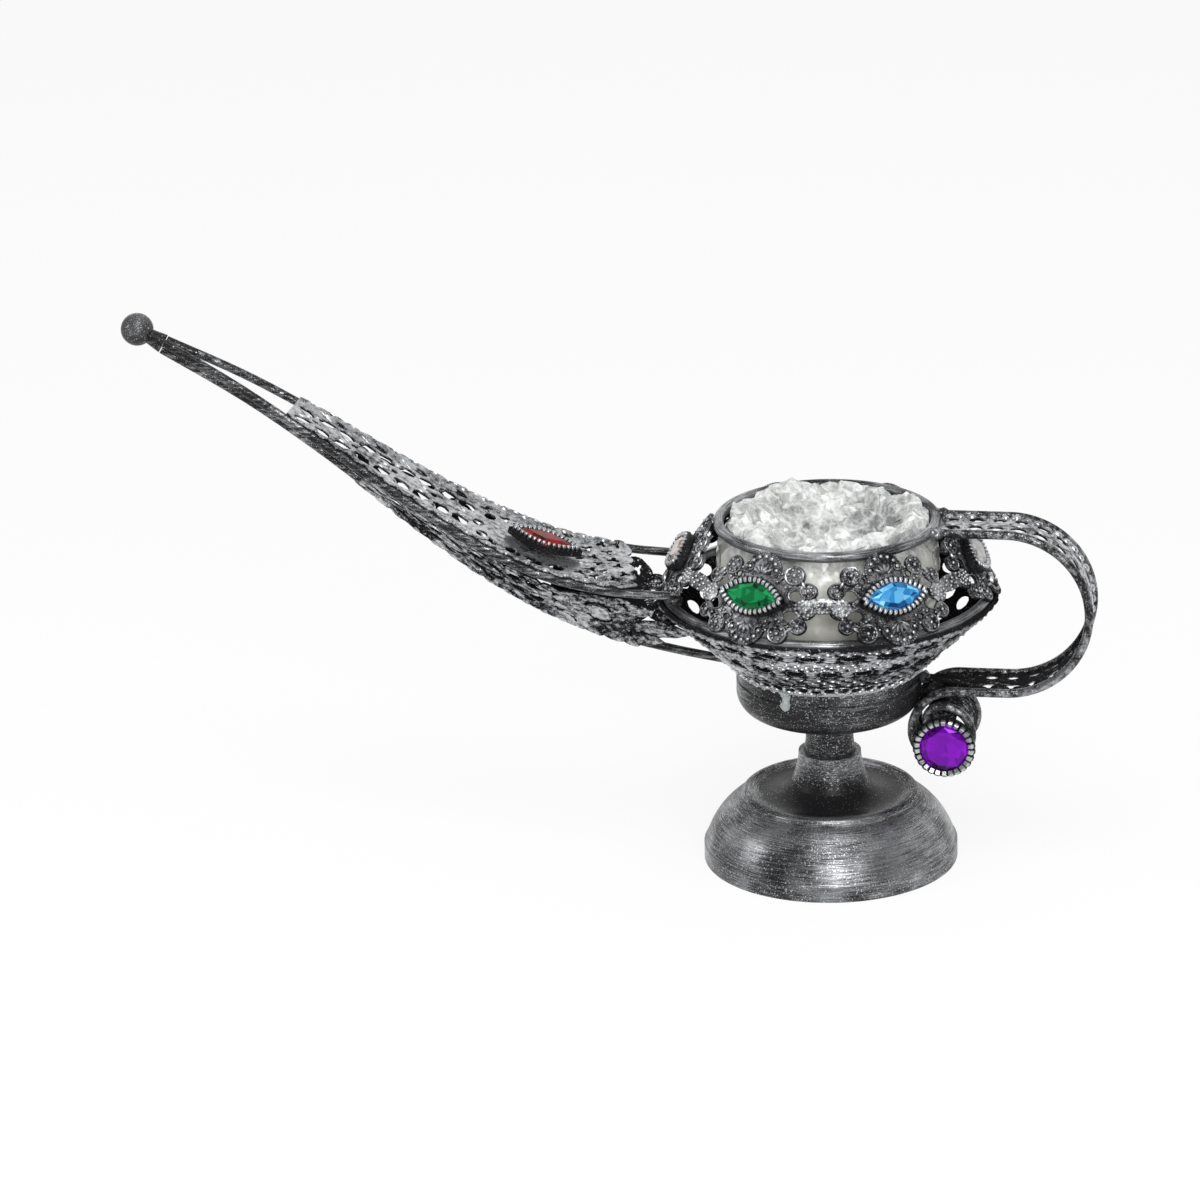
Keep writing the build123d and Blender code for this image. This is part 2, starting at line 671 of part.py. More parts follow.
with BuildPart() as spout_front_panel:
    side_stations = stations(SIDE_PANEL_OUT)
    for index, x in enumerate(side_stations):
        upper, _ = at_x(front_path, x)
        lower, along = at_x(bottom_path, x)
        down = (lower - upper).normalized()
        outward = Vector(0, down.Z, -down.Y)
        rim = SPOUT_WIRE_R / abs(along.X) + EDGE_GAP
        width = ((lower - upper).length - 2 * rim) * end_share(index, len(side_stations), LEAF_END_SHARES)
        middle = (upper + lower) * 0.5 + outward * PANEL_LIFT
        with BuildSketch(Plane(origin=middle, x_dir=down, z_dir=(-1, 0, 0))):
            Rectangle(width, STAMPING_T)
    loft(ruled=True)
    for x in side_stations[1:-1]:
        upper, _ = at_x(front_path, x - PANEL_STEP / 2)
        lower, _ = at_x(bottom_path, x - PANEL_STEP / 2)
        middle = (upper + lower) * 0.5
        half_h = (upper.Z - lower.Z) / 2
        with BuildSketch(Plane.XZ.offset(-middle.Y)):
            with Locations((middle.X, middle.Z + half_h / 3), (middle.X, middle.Z - half_h / 3)):
                Ellipse(PANEL_HOLE_L / 2, half_h * PANEL_HOLE_SHARE)
        extrude(amount=PANEL_STEP, both=True, mode=Mode.SUBTRACT)
save(spout_front_panel, "spout_front_panel")

with BuildPart() as spout_back_panel:
    add(spout_front_panel.part.mirror(Plane.XZ))
save(spout_back_panel, "spout_back_panel")

# Setting and gem on the spout's top panel

gem_point, gem_along = at_x(front_path, SPOUT_ROOT_X - SPOUT_GEM_OUT)
gem_level = Vector(gem_along.X, 0, gem_along.Z).normalized()
gem_up = Vector(gem_level.Z, 0, -gem_level.X)
gem_foot = Vector(gem_point.X, 0, gem_point.Z) + gem_up * (PANEL_LIFT + STAMPING_T / 2 + SPOUT_BEZEL_LIFT)
spout_gem_place = Plane(origin=gem_foot, x_dir=gem_level, z_dir=gem_up).location
placed(navette_bezel, spout_gem_place, "spout_bezel")
placed(navette_gem, spout_gem_place, "spout_gem")

# Handle: a loop between the top ring and the dish, then a scroll below the dish's side


def handle_loop(start):
    """The loop, from its start at the top ring to the start of the scroll."""
    Line((start, TOP_Z), (HANDLE_LOOP_X, TOP_Z))
    CenterArc((HANDLE_LOOP_X, TOP_Z - LOOP_R), LOOP_R, 90, -180)
    Line((HANDLE_LOOP_X, HANDLE_BOTTOM), (SCROLL_X, HANDLE_BOTTOM))


def handle_scroll():
    """The scroll, in quarter turns that each start where the last one ends."""
    x, z = SCROLL_X, HANDLE_BOTTOM
    for quarter, radius in enumerate(SCROLL_RADII):
        start = math.radians(90 + 90 * quarter)
        centre = (x - radius * math.cos(start), z - radius * math.sin(start))
        CenterArc(centre, radius, 90 + 90 * quarter, 90)
        end = start + math.pi / 2
        x, z = centre[0] + radius * math.cos(end), centre[1] + radius * math.sin(end)


for side, name in ((-1, "handle_wire_front"), (1, "handle_wire_back")):
    with BuildLine(Plane.XZ.offset(-side * HANDLE_HALF_W)) as handle_route:
        handle_loop(HANDLE_START)
        handle_scroll()
    with BuildPart() as handle_wire:
        tube(handle_route.wires()[0], HANDLE_WIRE_D)
    save(handle_wire, name)

with BuildPart() as handle_band:
    with BuildSketch(Plane.XZ):
        with BuildLine():
            handle_loop(RING_EDGE + EDGE_GAP)
        trace(line_width=STAMPING_T)
    extrude(amount=BAND_HALF_W, both=True)
    for hole in range(HANDLE_BAND_HOLES):
        turn = math.radians(90 - 180 * (hole + 0.5) / HANDLE_BAND_HOLES)
        outward = Vector(math.cos(turn), 0, math.sin(turn))
        place = Vector(HANDLE_LOOP_X, 0, TOP_Z - LOOP_R) + outward * LOOP_R
        with BuildSketch(Plane(origin=place, x_dir=(0, 1, 0), z_dir=outward)):
            with Locations((BAND_HALF_W / 2, 0), (-BAND_HALF_W / 2, 0)):
                Ellipse(HANDLE_HOLE_W / 2, HANDLE_HOLE_D / 2)
        extrude(amount=2 * STAMPING_T, both=True, mode=Mode.SUBTRACT)
save(handle_band, "handle_band")

with BuildPart() as scroll_band:
    with BuildSketch(Plane.XZ):
        with BuildLine():
            handle_scroll()
        trace(line_width=STAMPING_T)
    extrude(amount=BAND_HALF_W, both=True)
save(scroll_band, "scroll_band")

# Strap that joins the handle's bottom run to the dish

with BuildPart() as handle_tab:
    tab_z = HANDLE_BOTTOM + STAMPING_T / 2 + SEAT_GAP
    with BuildSketch(Plane.XY.offset(tab_z)):
        with Locations(((DISH_R + SCROLL_X + TAB_LAP) / 2, 0)):
            Rectangle(SCROLL_X + TAB_LAP - DISH_R, TAB_W)
    extrude(amount=TAB_T)
    with BuildSketch(Plane.XY.offset(tab_z)):
        Circle(DISH_R + SEAT_GAP)
    extrude(amount=TAB_T, mode=Mode.SUBTRACT)
save(handle_tab, "handle_tab")

# Round setting and gem on the front of the scroll

scroll_gem_centre = Vector(
    SCROLL_X - SCROLL_GEM_LEFT,
    -HANDLE_HALF_W - HANDLE_WIRE_R - SEAT_GAP,
    HANDLE_BOTTOM - SCROLL_RADII[0] - SCROLL_GEM_DOWN,
)
scroll_gem_place = Plane(origin=scroll_gem_centre, x_dir=(1, 0, 0), z_dir=(0, -1, 0)).location
placed(round_bezel, scroll_gem_place, "scroll_bezel")
placed(round_gem, scroll_gem_place, "scroll_gem")

# Film: a wad with a hollow top, narrow enough to lift out through the top ring

FILM_R = TOP_RING_R - CAGE_WIRE_R - SOFT_GAP
FILM_SEAT_R = LIP_R - DISH_WALL - SOFT_GAP
FILM_FOOT = SCREW_SEAT_Z + SCREW_HEAD_H + SOFT_GAP
FILM_TOP = TOP_Z + FILM_RISE

with BuildPart() as crumpled_film:
    with BuildSketch(Plane.XZ):
        with BuildLine():
            Polyline(
                (0, FILM_FOOT),
                (DISH_R - DISH_CORNER_R, FILM_FOOT),
                (FILM_SEAT_R, DISH_Z + DISH_CORNER_R),
                (FILM_SEAT_R, DISH_TOP),
                (FILM_R, DISH_TOP + FILM_FLARE_H),
                (FILM_R, FILM_TOP - FILM_CREST_W / 2),
            )
            crest_r = FILM_CREST_W / 2
            crest = CenterArc((FILM_R - crest_r, FILM_TOP - crest_r), crest_r, 0, 90)
            Polyline(
                crest @ 1,
                (FILM_FLOOR_R, FILM_TOP - FILM_HOLLOW_DEPTH),
                (0, FILM_TOP - FILM_HOLLOW_DEPTH),
                (0, FILM_FOOT),
            )
        make_face()
    revolve(axis=Axis.Z)
save(crumpled_film, "crumpled_film")
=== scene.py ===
# %% [markdown]
# A genie lamp of spun shells, soldered wire and pierced filigree, painted black and dry-brushed
# with silver. The construction arrives ready made from the frame: shells, wires, pierced sheets,
# settings. This lesson dresses it: stamped relief on the sheets, cut gems in toothed settings,
# crumpled film in the bowl, solder at the joints, and the worn silver paint.

import json
import math
import random

import bpy
from mathutils import Matrix, Vector, noise


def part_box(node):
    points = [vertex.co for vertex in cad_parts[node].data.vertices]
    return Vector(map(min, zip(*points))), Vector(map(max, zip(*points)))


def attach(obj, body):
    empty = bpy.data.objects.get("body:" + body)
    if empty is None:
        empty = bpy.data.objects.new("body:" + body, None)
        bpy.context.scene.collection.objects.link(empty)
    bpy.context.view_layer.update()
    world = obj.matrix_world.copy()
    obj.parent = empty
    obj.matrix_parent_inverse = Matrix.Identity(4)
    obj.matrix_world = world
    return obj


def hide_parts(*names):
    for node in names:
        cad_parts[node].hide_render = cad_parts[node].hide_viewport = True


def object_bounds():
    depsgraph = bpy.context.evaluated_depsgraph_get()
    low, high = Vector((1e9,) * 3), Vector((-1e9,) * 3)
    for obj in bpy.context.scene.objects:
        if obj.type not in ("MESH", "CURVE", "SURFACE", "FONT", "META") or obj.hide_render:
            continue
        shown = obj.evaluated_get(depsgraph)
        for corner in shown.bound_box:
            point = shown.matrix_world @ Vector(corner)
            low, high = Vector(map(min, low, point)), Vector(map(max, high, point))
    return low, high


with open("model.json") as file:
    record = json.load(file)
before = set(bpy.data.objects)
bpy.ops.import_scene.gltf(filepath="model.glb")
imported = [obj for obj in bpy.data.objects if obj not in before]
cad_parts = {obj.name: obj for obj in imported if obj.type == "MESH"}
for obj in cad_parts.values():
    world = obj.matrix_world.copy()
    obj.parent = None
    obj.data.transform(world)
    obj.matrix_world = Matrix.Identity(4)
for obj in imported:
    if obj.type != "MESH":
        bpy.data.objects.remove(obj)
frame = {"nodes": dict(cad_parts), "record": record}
nodes = frame["nodes"]
cad_low, cad_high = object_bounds()
MM = 0.001
cad_size = [round(side / MM, 1) for side in cad_high - cad_low]
print("frame:", len(nodes), "nodes, size in mm", cad_size)

# %% [markdown]
# The camera is a long lens from the front, a little to the right and about twenty degrees up.
# Long lenses flatten, which is why the foot and the two rings look like near-parallel ellipses.

# %% Camera
AZIMUTH = math.radians(9.5)
ELEVATION = math.radians(20.49)
ROLL = math.radians(-1.5)
DISTANCE = 1.6474
AIM = Vector((-0.06305, 0.0, 0.07265))

back = Vector((
    math.sin(AZIMUTH) * math.cos(ELEVATION),
    -math.cos(AZIMUTH) * math.cos(ELEVATION),
    math.sin(ELEVATION),
))
right = Vector((math.cos(AZIMUTH), math.sin(AZIMUTH), 0.0))
above = back.cross(right)
side = right * math.cos(ROLL) + above * math.sin(ROLL)
top = above * math.cos(ROLL) - right * math.sin(ROLL)
camera_turn = Matrix((side, top, back)).transposed().to_4x4()
bpy.ops.object.camera_add()
camera = bpy.context.object
camera.matrix_world = Matrix.Translation(AIM + back * DISTANCE) @ camera_turn
camera.data.lens = 180
camera.data.sensor_width = 36
bpy.context.scene.camera = camera
print("camera stands at", [round(c, 3) for c in camera.matrix_world.translation])

# %% [markdown]
# Light and paint are graphs of shader nodes. Node by node they take many lines, so each helper
# here adds one node, feeds its inputs and hands back its output, and a graph then reads like a
# sum.

# %% Node helpers


def feed(tree, socket, value):
    """Links an output to an input, or sets a number, vector or colour on it."""
    if isinstance(value, bpy.types.NodeSocket):
        tree.links.new(value, socket)
    else:
        socket.default_value = value


def maths(tree, operation, *values):
    """A Math node."""
    node = tree.nodes.new("ShaderNodeMath")
    node.operation = operation
    for socket, value in zip(node.inputs, values):
        feed(tree, socket, value)
    return node.outputs[0]


def vector_measure(tree, operation, *values):
    """A Vector Math node whose result is a number."""
    node = tree.nodes.new("ShaderNodeVectorMath")
    node.operation = operation
    for socket, value in zip(node.inputs, values):
        feed(tree, socket, value)
    return node.outputs["Value"]


def ranged(tree, value, low, high, to_low, to_high, smooth=False):
    """A Map Range node with fixed ends."""
    node = tree.nodes.new("ShaderNodeMapRange")
    node.interpolation_type = "SMOOTHSTEP" if smooth else "LINEAR"
    ends = {"From Min": low, "From Max": high, "To Min": to_low, "To Max": to_high}
    for name, number in {"Value": value, **ends}.items():
        feed(tree, node.inputs[name], number)
    return node.outputs["Result"]


def mixed(tree, factor, first, second, kind="FLOAT"):
    """A Mix node for numbers, or for colours with the kind RGBA."""
    node = tree.nodes.new("ShaderNodeMix")
    node.data_type = kind
    for name, value in (("Factor", factor), ("A", first), ("B", second)):
        feed(tree, node.inputs[name], value)
    return node.outputs["Result"]


print("node helpers ready")

# %% [markdown]
# The stage is a pale floor under soft light. The floor shines a little of its own white towards
# the camera and into reflections, so it reads as a white table that still keeps the lamp's faint
# shadow.

# %% Floor
FLOOR_SIZE = 8.0
FLOOR_WHITE = 0.87  # share of the floor's look that doesn't depend on the light
scene = bpy.context.scene
scene.view_settings.view_transform = "Standard"


def seen_rays(tree):
    """1 for camera, reflected and transmitted rays, 0 for those that carry light."""
    path = tree.nodes.new("ShaderNodeLightPath").outputs
    reflected = maths(tree, "MAXIMUM", path["Is Camera Ray"], path["Is Glossy Ray"])
    return maths(tree, "MAXIMUM", reflected, path["Is Transmission Ray"])


def pale_floor():
    """Matt white that glows by itself for the rays that are seen."""
    material = bpy.data.materials.new("pale_floor")
    material.use_nodes = True
    tree = material.node_tree
    tree.nodes.clear()
    diffuse = tree.nodes.new("ShaderNodeBsdfDiffuse")
    diffuse.inputs["Color"].default_value = (0.9, 0.9, 0.9, 1)
    glow = tree.nodes.new("ShaderNodeEmission")
    mix = tree.nodes.new("ShaderNodeMixShader")
    output = tree.nodes.new("ShaderNodeOutputMaterial")
    feed(tree, mix.inputs["Fac"], maths(tree, "MULTIPLY", seen_rays(tree), FLOOR_WHITE))
    feed(tree, mix.inputs[1], diffuse.outputs[0])
    feed(tree, mix.inputs[2], glow.outputs[0])
    feed(tree, output.inputs["Surface"], mix.outputs[0])
    return material


bpy.ops.mesh.primitive_plane_add(size=FLOOR_SIZE)
floor = bpy.context.object
floor.name = "floor"
floor.data.materials.append(pale_floor())
print("floor:", FLOOR_SIZE, "m square")

# %% Studio and lamps
WORLD_FILL = 0.5
ROOM_DIM = 0.16  # how bright the dark side of the studio is in reflections
BRIGHT_SIDE = (0.1, 0.95, 0.0)  # where the white wall stands: behind the lamp
WALL_EDGE = (-0.35, 0.7)  # from dark to bright, as shares of facing that wall
LAMP_AIM = Vector((0, 0, 0.07))
LAMPS = (  # name, place, size, watts, share in reflections
    ("key_light", (0.12, -0.5, 1.05), 0.6, 6.0, 1.0),
    ("side_light", (-0.95, -0.35, 0.55), 0.5, 2.2, 0.0),
    ("front_light", (0.32, -1.1, 0.58), 0.6, 7.0, 1.0),
)


def studio_strength(tree):
    """White to the camera, dim on its own side in reflections, a plain fill for the rest."""
    direction = tree.nodes.new("ShaderNodeTexCoord").outputs["Generated"]
    facing = vector_measure(tree, "DOT_PRODUCT", direction, BRIGHT_SIDE)
    path = tree.nodes.new("ShaderNodeLightPath").outputs
    strength = WORLD_FILL
    dims = {"Is Glossy Ray": ROOM_DIM, "Is Transmission Ray": 1.0, "Is Camera Ray": 1.0}
    for ray, dim in dims.items():
        strength = mixed(tree, path[ray], strength, ranged(tree, facing, *WALL_EDGE, dim, 1.0))
    return strength


world = bpy.data.worlds.new("studio")
world.use_nodes = True
scene.world = world
background = world.node_tree.nodes["Background"]
background.inputs["Color"].default_value = (1, 1, 1, 1)
feed(world.node_tree, background.inputs["Strength"], studio_strength(world.node_tree))

for name, place, size, watts, shine in LAMPS:
    bpy.ops.object.light_add(type="AREA", location=place)
    lamp = bpy.context.object
    lamp.name = name
    lamp.data.size = size
    lamp.data.energy = watts
    lamp.data.specular_factor = shine
    lamp.rotation_euler = (Vector(place) - LAMP_AIM).to_track_quat("Z", "Y").to_euler()
print("lamps:", [name for name, *_ in LAMPS])

# %% [markdown]
# The metal is one paint job in a few variants. Black lacquer fills the hollows, and silver was
# dragged over it with a nearly dry brush, so it catches on ridges and breaks into streaks. A mask
# mixes the two: noise stretched along the brush stroke, a slow blotchy noise, grains of bright
# flake, and on stamped relief the height of the stamp, which each piece stores in an attribute
# called raised.

# %% Brush strokes


def object_place(tree):
    return tree.nodes.new("ShaderNodeTexCoord").outputs["Object"]


def attribute(tree, name):
    """A number that the piece's mesh carries."""
    node = tree.nodes.new("ShaderNodeAttribute")
    node.attribute_name = name
    return node.outputs["Fac"]


def noise_field(tree, vector, scale, detail=5.0, rough=0.6, w=None):
    """A Noise Texture on given coordinates, four dimensional where a W is given."""
    node = tree.nodes.new("ShaderNodeTexNoise")
    sockets = {"Vector": vector, "Scale": scale, "Detail": detail, "Roughness": rough}
    if w is not None:
        node.noise_dimensions = "4D"
        sockets["W"] = w
    for name, value in sockets.items():
        feed(tree, node.inputs[name], value)
    return node.outputs["Fac"]


def from_axis(tree):
    """X, Y and Z of a place on the object, and its distance from the lamp's axis."""
    split = tree.nodes.new("ShaderNodeSeparateXYZ")
    feed(tree, split.inputs[0], object_place(tree))
    squares = [maths(tree, "MULTIPLY", split.outputs[axis], split.outputs[axis]) for axis in "XY"]
    return split.outputs, maths(tree, "SQRT", maths(tree, "ADD", *squares))


def brushed_along(tree, stretch):
    """Streaks from noise that is squeezed differently along X, Y and Z."""
    mapping = tree.nodes.new("ShaderNodeMapping")
    mapping.inputs["Scale"].default_value = stretch
    feed(tree, mapping.inputs["Vector"], object_place(tree))
    return noise_field(tree, mapping.outputs["Vector"], 1.0)


def brushed_round(tree, length, width):
    """Streaks round the lamp's axis: slow with the bearing, quick with radius and height."""
    place, radius = from_axis(tree)
    bearing = tree.nodes.new("ShaderNodeCombineXYZ")
    for axis in "XY":
        share = maths(tree, "DIVIDE", place[axis], radius)
        feed(tree, bearing.inputs[axis], maths(tree, "MULTIPLY", share, length))
    feed(tree, bearing.inputs["Z"], maths(tree, "MULTIPLY", radius, width))
    height = maths(tree, "MULTIPLY", place["Z"], width)
    return noise_field(tree, bearing.outputs[0], 1.0, w=height)


print("brush strokes ready")

# %% Antique paint
LACQUER = (0.012, 0.012, 0.013, 1)
SILVER = (0.60, 0.61, 0.63, 1)
BLOTCH_SCALE = 60.0
GRAIN_SCALE = 2400.0
# Less silver in a dip, partly where the brush misses it and partly painted shade.
HOLLOW_SHADE_DIP = 0.25  # how much less silver reaches a hollow


def new_material(name):
    """A material, its node tree and its main shader."""
    material = bpy.data.materials.new(name)
    material.use_nodes = True
    return material, material.node_tree, material.node_tree.nodes["Principled BSDF"]


def set_sockets(shader, values):
    for name, value in values.items():
        shader.inputs[name].default_value = value


def roughen(tree, shader, height, strength, distance):
    """A Bump node between a height and a shader."""
    bump = tree.nodes.new("ShaderNodeBump")
    set_sockets(bump, {"Strength": strength, "Distance": distance})
    feed(tree, bump.inputs["Height"], height)
    feed(tree, shader.inputs["Normal"], bump.outputs["Normal"])


def antique(name, streaks, level, stroke=0.6, blotch=0.5, relief=None, outward=False,
            shaded_hollow=None, flake=0.25, gloss=0.14):
    """Black lacquer with dry-brushed silver. Level is about the share of silver, stroke and blotch
    how much it varies along the brush and from place to place, relief the heights that it runs
    from bare to full over, outward keeps it to faces that look away from the lamp's axis, and
    shaded_hollow gives two distances from that axis between which there is less silver: the
    brush reached less of that dip, and it is also painted darker as shade. Gloss is the
    lacquer's own shine."""
    material, tree, shader = new_material(name)
    place = object_place(tree)
    amount = maths(tree, "MULTIPLY_ADD", streaks(tree), stroke, level - 0.5 * stroke)
    patch = noise_field(tree, place, BLOTCH_SCALE, detail=2.0)
    grain = noise_field(tree, place, GRAIN_SCALE, detail=2.0)
    changes = [
        maths(tree, "MULTIPLY_ADD", patch, blotch, -0.5 * blotch),
        ranged(tree, grain, 0.58, 0.72, 0.0, flake),
    ]
    if relief:
        changes.append(ranged(tree, attribute(tree, "raised"), *relief, -0.42, 0.1))
    if outward:
        normal = tree.nodes.new("ShaderNodeTexCoord").outputs["Normal"]
        away = vector_measure(tree, "DOT_PRODUCT", place, normal)
        changes.append(ranged(tree, away, -0.004, 0.004, -0.45, 0.0))
    # Painted shade: between these distances the silver thins, for the brush missing the dip and for
    # the shade that falls in it.
    if shaded_hollow:
        _, reach = from_axis(tree)
        for edge, dip in zip(shaded_hollow, (-HOLLOW_SHADE_DIP, HOLLOW_SHADE_DIP)):
            ends = (edge - 1.5 * MM, edge + 1.5 * MM)
            changes.append(ranged(tree, reach, *ends, 0.0, dip, smooth=True))
    for change in changes:
        amount = maths(tree, "ADD", amount, change)
    mask = ranged(tree, amount, 0.25, 0.75, 0.0, 1.0, smooth=True)
    feed(tree, shader.inputs["Base Color"], mixed(tree, mask, LACQUER, SILVER, "RGBA"))
    feed(tree, shader.inputs["Metallic"], ranged(tree, mask, 0.0, 0.5, 0.05, 0.95))
    feed(tree, shader.inputs["Roughness"], ranged(tree, mask, 0.0, 1.0, 0.34, 0.28))
    shader.inputs["Specular IOR Level"].default_value = gloss
    roughen(tree, shader, amount, 0.3, 0.12 * MM)
    return material


print("silver over lacquer:", SILVER[:3], "over", LACQUER[:3])

# %% Paints of the lamp's pieces


def round_strokes(tree):
    return brushed_round(tree, 5.0, 6000.0)


def spout_strokes(tree):
    return brushed_along(tree, (140, 1500, 1500))


def dabs(tree):
    return brushed_along(tree, (600, 600, 600))


# The foot's dip round the neck has less silver, partly from the brush and partly as painted shade.
spun_paint = antique("spun_paint", round_strokes, 0.38, stroke=0.85, blotch=0.6,
                     shaded_hollow=(0.0105, 0.0195), flake=0.4)
dark_spun_paint = antique("dark_spun_paint", round_strokes, 0.27, stroke=0.9, flake=0.4)
ring_paint = antique("ring_paint", round_strokes, 0.40, stroke=1.1, blotch=0.9)
spout_paint = antique("spout_paint", spout_strokes, 0.32, stroke=0.9)
wire_paint = antique("wire_paint", dabs, 0.36, stroke=0.9)
sheet_paint = antique("sheet_paint", dabs, 0.56, stroke=1.1, blotch=0.7,
                      relief=(-0.2, 0.55), gloss=0.0)
# The side sheets get less silver than the top sheet: painted shade, as they face away from the
# light above.
shaded_side_sheet_paint = antique("shaded_side_sheet_paint", dabs, 0.44, stroke=1.2, blotch=0.9,
                           relief=(-0.2, 0.6), gloss=0.0)
dark_sheet_paint = antique("dark_sheet_paint", dabs, 0.17, gloss=0.0)
scroll_paint = antique("scroll_paint", dabs, 0.22, stroke=0.9, gloss=0.0)
plate_paint = antique("plate_paint", dabs, 0.36, stroke=0.8, outward=True, gloss=0.0)
relief_paint = antique("relief_paint", dabs, 0.60, stroke=1.0, relief=(0.1, 0.6))
basket_paint = antique("basket_paint", dabs, 0.48, stroke=1.0, blotch=0.8,
                       relief=(0.0, 0.6), gloss=0.0)
setting_paint = antique("setting_paint", dabs, 0.58, stroke=0.8, relief=(2.0, 2.7))
print("paints made:", [m.name for m in bpy.data.materials if m.name.endswith("paint")])

# %% [markdown]
# Relief is built the way a stamping die is: a few small blanks, pressed many times. Each blank is
# a primitive shaped in edit mode to unit size. A leaf is a domed lens, a blade is a flat one, a
# coin is a flat disc, a bead is a ball, eyelets and hoops are rings, and bars and teeth are
# bevelled blocks.

# %% Blanks from discs
BLANKS = {}


def clear_selection():
    """Operators act on all that is selected, and the frame arrives selected."""
    if bpy.context.object and bpy.context.object.mode != "OBJECT":
        bpy.ops.object.mode_set(mode="OBJECT")
    bpy.ops.object.select_all(action="DESELECT")


def edit_all():
    """Edit mode with everything selected."""
    bpy.ops.object.mode_set(mode="EDIT")
    bpy.ops.mesh.select_all(action="SELECT")


def leave_edit():
    """Object mode again, with all faces turned outwards."""
    bpy.ops.mesh.select_all(action="SELECT")
    bpy.ops.mesh.normals_make_consistent(inside=False)
    bpy.ops.object.mode_set(mode="OBJECT")
    return bpy.context.object


def keep_blank(name):
    """Takes the active object's mesh as a blank and removes the object."""
    edit_all()
    made = leave_edit()
    BLANKS[name] = made.data.copy()
    bpy.data.objects.remove(made)


def start_disc(sides):
    clear_selection()
    bpy.ops.mesh.primitive_circle_add(vertices=sides, radius=1, fill_type="NGON")
    edit_all()


def raise_top(height, share):
    """Extrudes the selected face upwards and draws the new top in to a share of its width."""
    bpy.ops.mesh.extrude_region_move(TRANSFORM_OT_translate={"value": (0, 0, height)})
    bpy.ops.transform.resize(value=(share, share, 1))


def pinch(name):
    """Draws a round blank to a point at both ends of its X axis."""
    for vertex in BLANKS[name].vertices:
        reach = math.hypot(vertex.co.x, vertex.co.y)
        vertex.co.y *= abs(vertex.co.y) / reach if reach else 0


for name, sides, steps in (
    ("leaf", 10, ((0.5, 0.92), (0.5, 0.45))),
    ("blade", 12, ((0.75, 1.0), (0.25, 0.86))),
    ("coin", 14, ((0.75, 1.0), (0.25, 0.88))),
):
    start_disc(sides)
    for height, share in steps:
        raise_top(height, share)
    keep_blank(name)
pinch("leaf")
pinch("blade")
print("disc blanks:", {name: len(mesh.polygons) for name, mesh in BLANKS.items()})

# %% Blanks from balls, rings and blocks
clear_selection()
bpy.ops.mesh.primitive_uv_sphere_add(segments=8, ring_count=5, radius=1)
keep_blank("bead")

for name, minor, tall in (("eyelet", 0.13, 6.0), ("hoop", 0.16, 4.0)):
    clear_selection()
    bpy.ops.mesh.primitive_torus_add(
        major_segments=14, minor_segments=5, major_radius=1 - minor, minor_radius=minor
    )
    edit_all()
    bpy.ops.transform.resize(value=(1, 1, tall))
    keep_blank(name)

for name, offset, segments in (("bar", 0.3, 1), ("tooth", 0.55, 3)):
    clear_selection()
    bpy.ops.mesh.primitive_cube_add(size=2)
    edit_all()
    bpy.ops.mesh.bevel(offset=offset, segments=segments, affect="EDGES")
    keep_blank(name)
print("all blanks:", {name: len(mesh.polygons) for name, mesh in BLANKS.items()})

# %% [markdown]
# A pattern is a list of presses: which blank, where on the flat sheet, its half length and half
# width, its height and its turn, all in millimetres. Pressing copies the blanks and joins them.
# Laying then moves each vertex of the flat relief to its place on a curved surface, which a bend
# operator can't do here because it needs a window. The height above the sheet is stored first,
# for the paint.

# %% Press and lay


def pick(piece):
    """Makes a piece the only selected one and the active one."""
    clear_selection()
    piece.select_set(True)
    bpy.context.view_layer.objects.active = piece


def twin(made, name):
    """A copy of a piece with a mesh of its own."""
    piece = made.copy()
    piece.data = made.data.copy()
    piece.name = name
    scene.collection.objects.link(piece)
    return piece


def pressed(name, pattern):
    """Copies each blank to its place on a flat sheet and joins the copies."""
    clear_selection()
    for blank, u, v, half_u, half_v, height, turn in pattern:
        copy = bpy.data.objects.new(name, BLANKS[blank].copy())
        place = Matrix.Translation((u, v, 0)) @ Matrix.Rotation(math.radians(turn), 4, "Z")
        copy.data.transform(place @ Matrix.Diagonal((half_u, half_v, height, 1)))
        scene.collection.objects.link(copy)
        copy.select_set(True)
        bpy.context.view_layer.objects.active = copy
    bpy.ops.object.join()
    bpy.context.object.name = name
    return bpy.context.object


def store_heights(piece):
    """Keeps the height of each vertex above the flat sheet, for the paint."""
    raised = piece.data.attributes.new("raised", "FLOAT", "POINT")
    raised.data.foreach_set("value", [vertex.co.z for vertex in piece.data.vertices])


def lay(piece, surface):
    """Moves a flat relief, in millimetres, on to a surface."""
    store_heights(piece)
    for vertex in piece.data.vertices:
        vertex.co = surface(*vertex.co) * MM
    piece.data.update()


def finished(piece, material, body="lamp", angle=40):
    """Smooths a piece, paints it and fixes it to its body."""
    pick(piece)
    bpy.ops.object.shade_smooth_by_angle(angle=math.radians(angle))
    piece.data.materials.clear()
    piece.data.materials.append(material)
    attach(piece, body)


print("press ready")

# %% [markdown]
# The belt is six scalloped links between the two rings. Each has a fan at its top and bottom,
# petals and wings at its corners, pierced ovals beside the setting, and a granulated tip. The
# rings give the belt's slope, and each gem gives its link's bearing, so nothing is fitted by eye.

# %% Belt geometry
SHEET_T = 0.7
SEAT_GAP = 0.05
LINKS = range(1, 7)


def middle(node):
    """The mean of a node's vertices, in millimetres."""
    points = [vertex.co for vertex in nodes[node].data.vertices]
    return sum(points, Vector()) / len(points) / MM


def ring(node):
    """Radius, height and wire radius of a ring wire, in millimetres."""
    low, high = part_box(node)
    wire = (high.z - low.z) / 2
    return (high.x - wire) / MM, (high.z + low.z) / 2 / MM, wire / MM


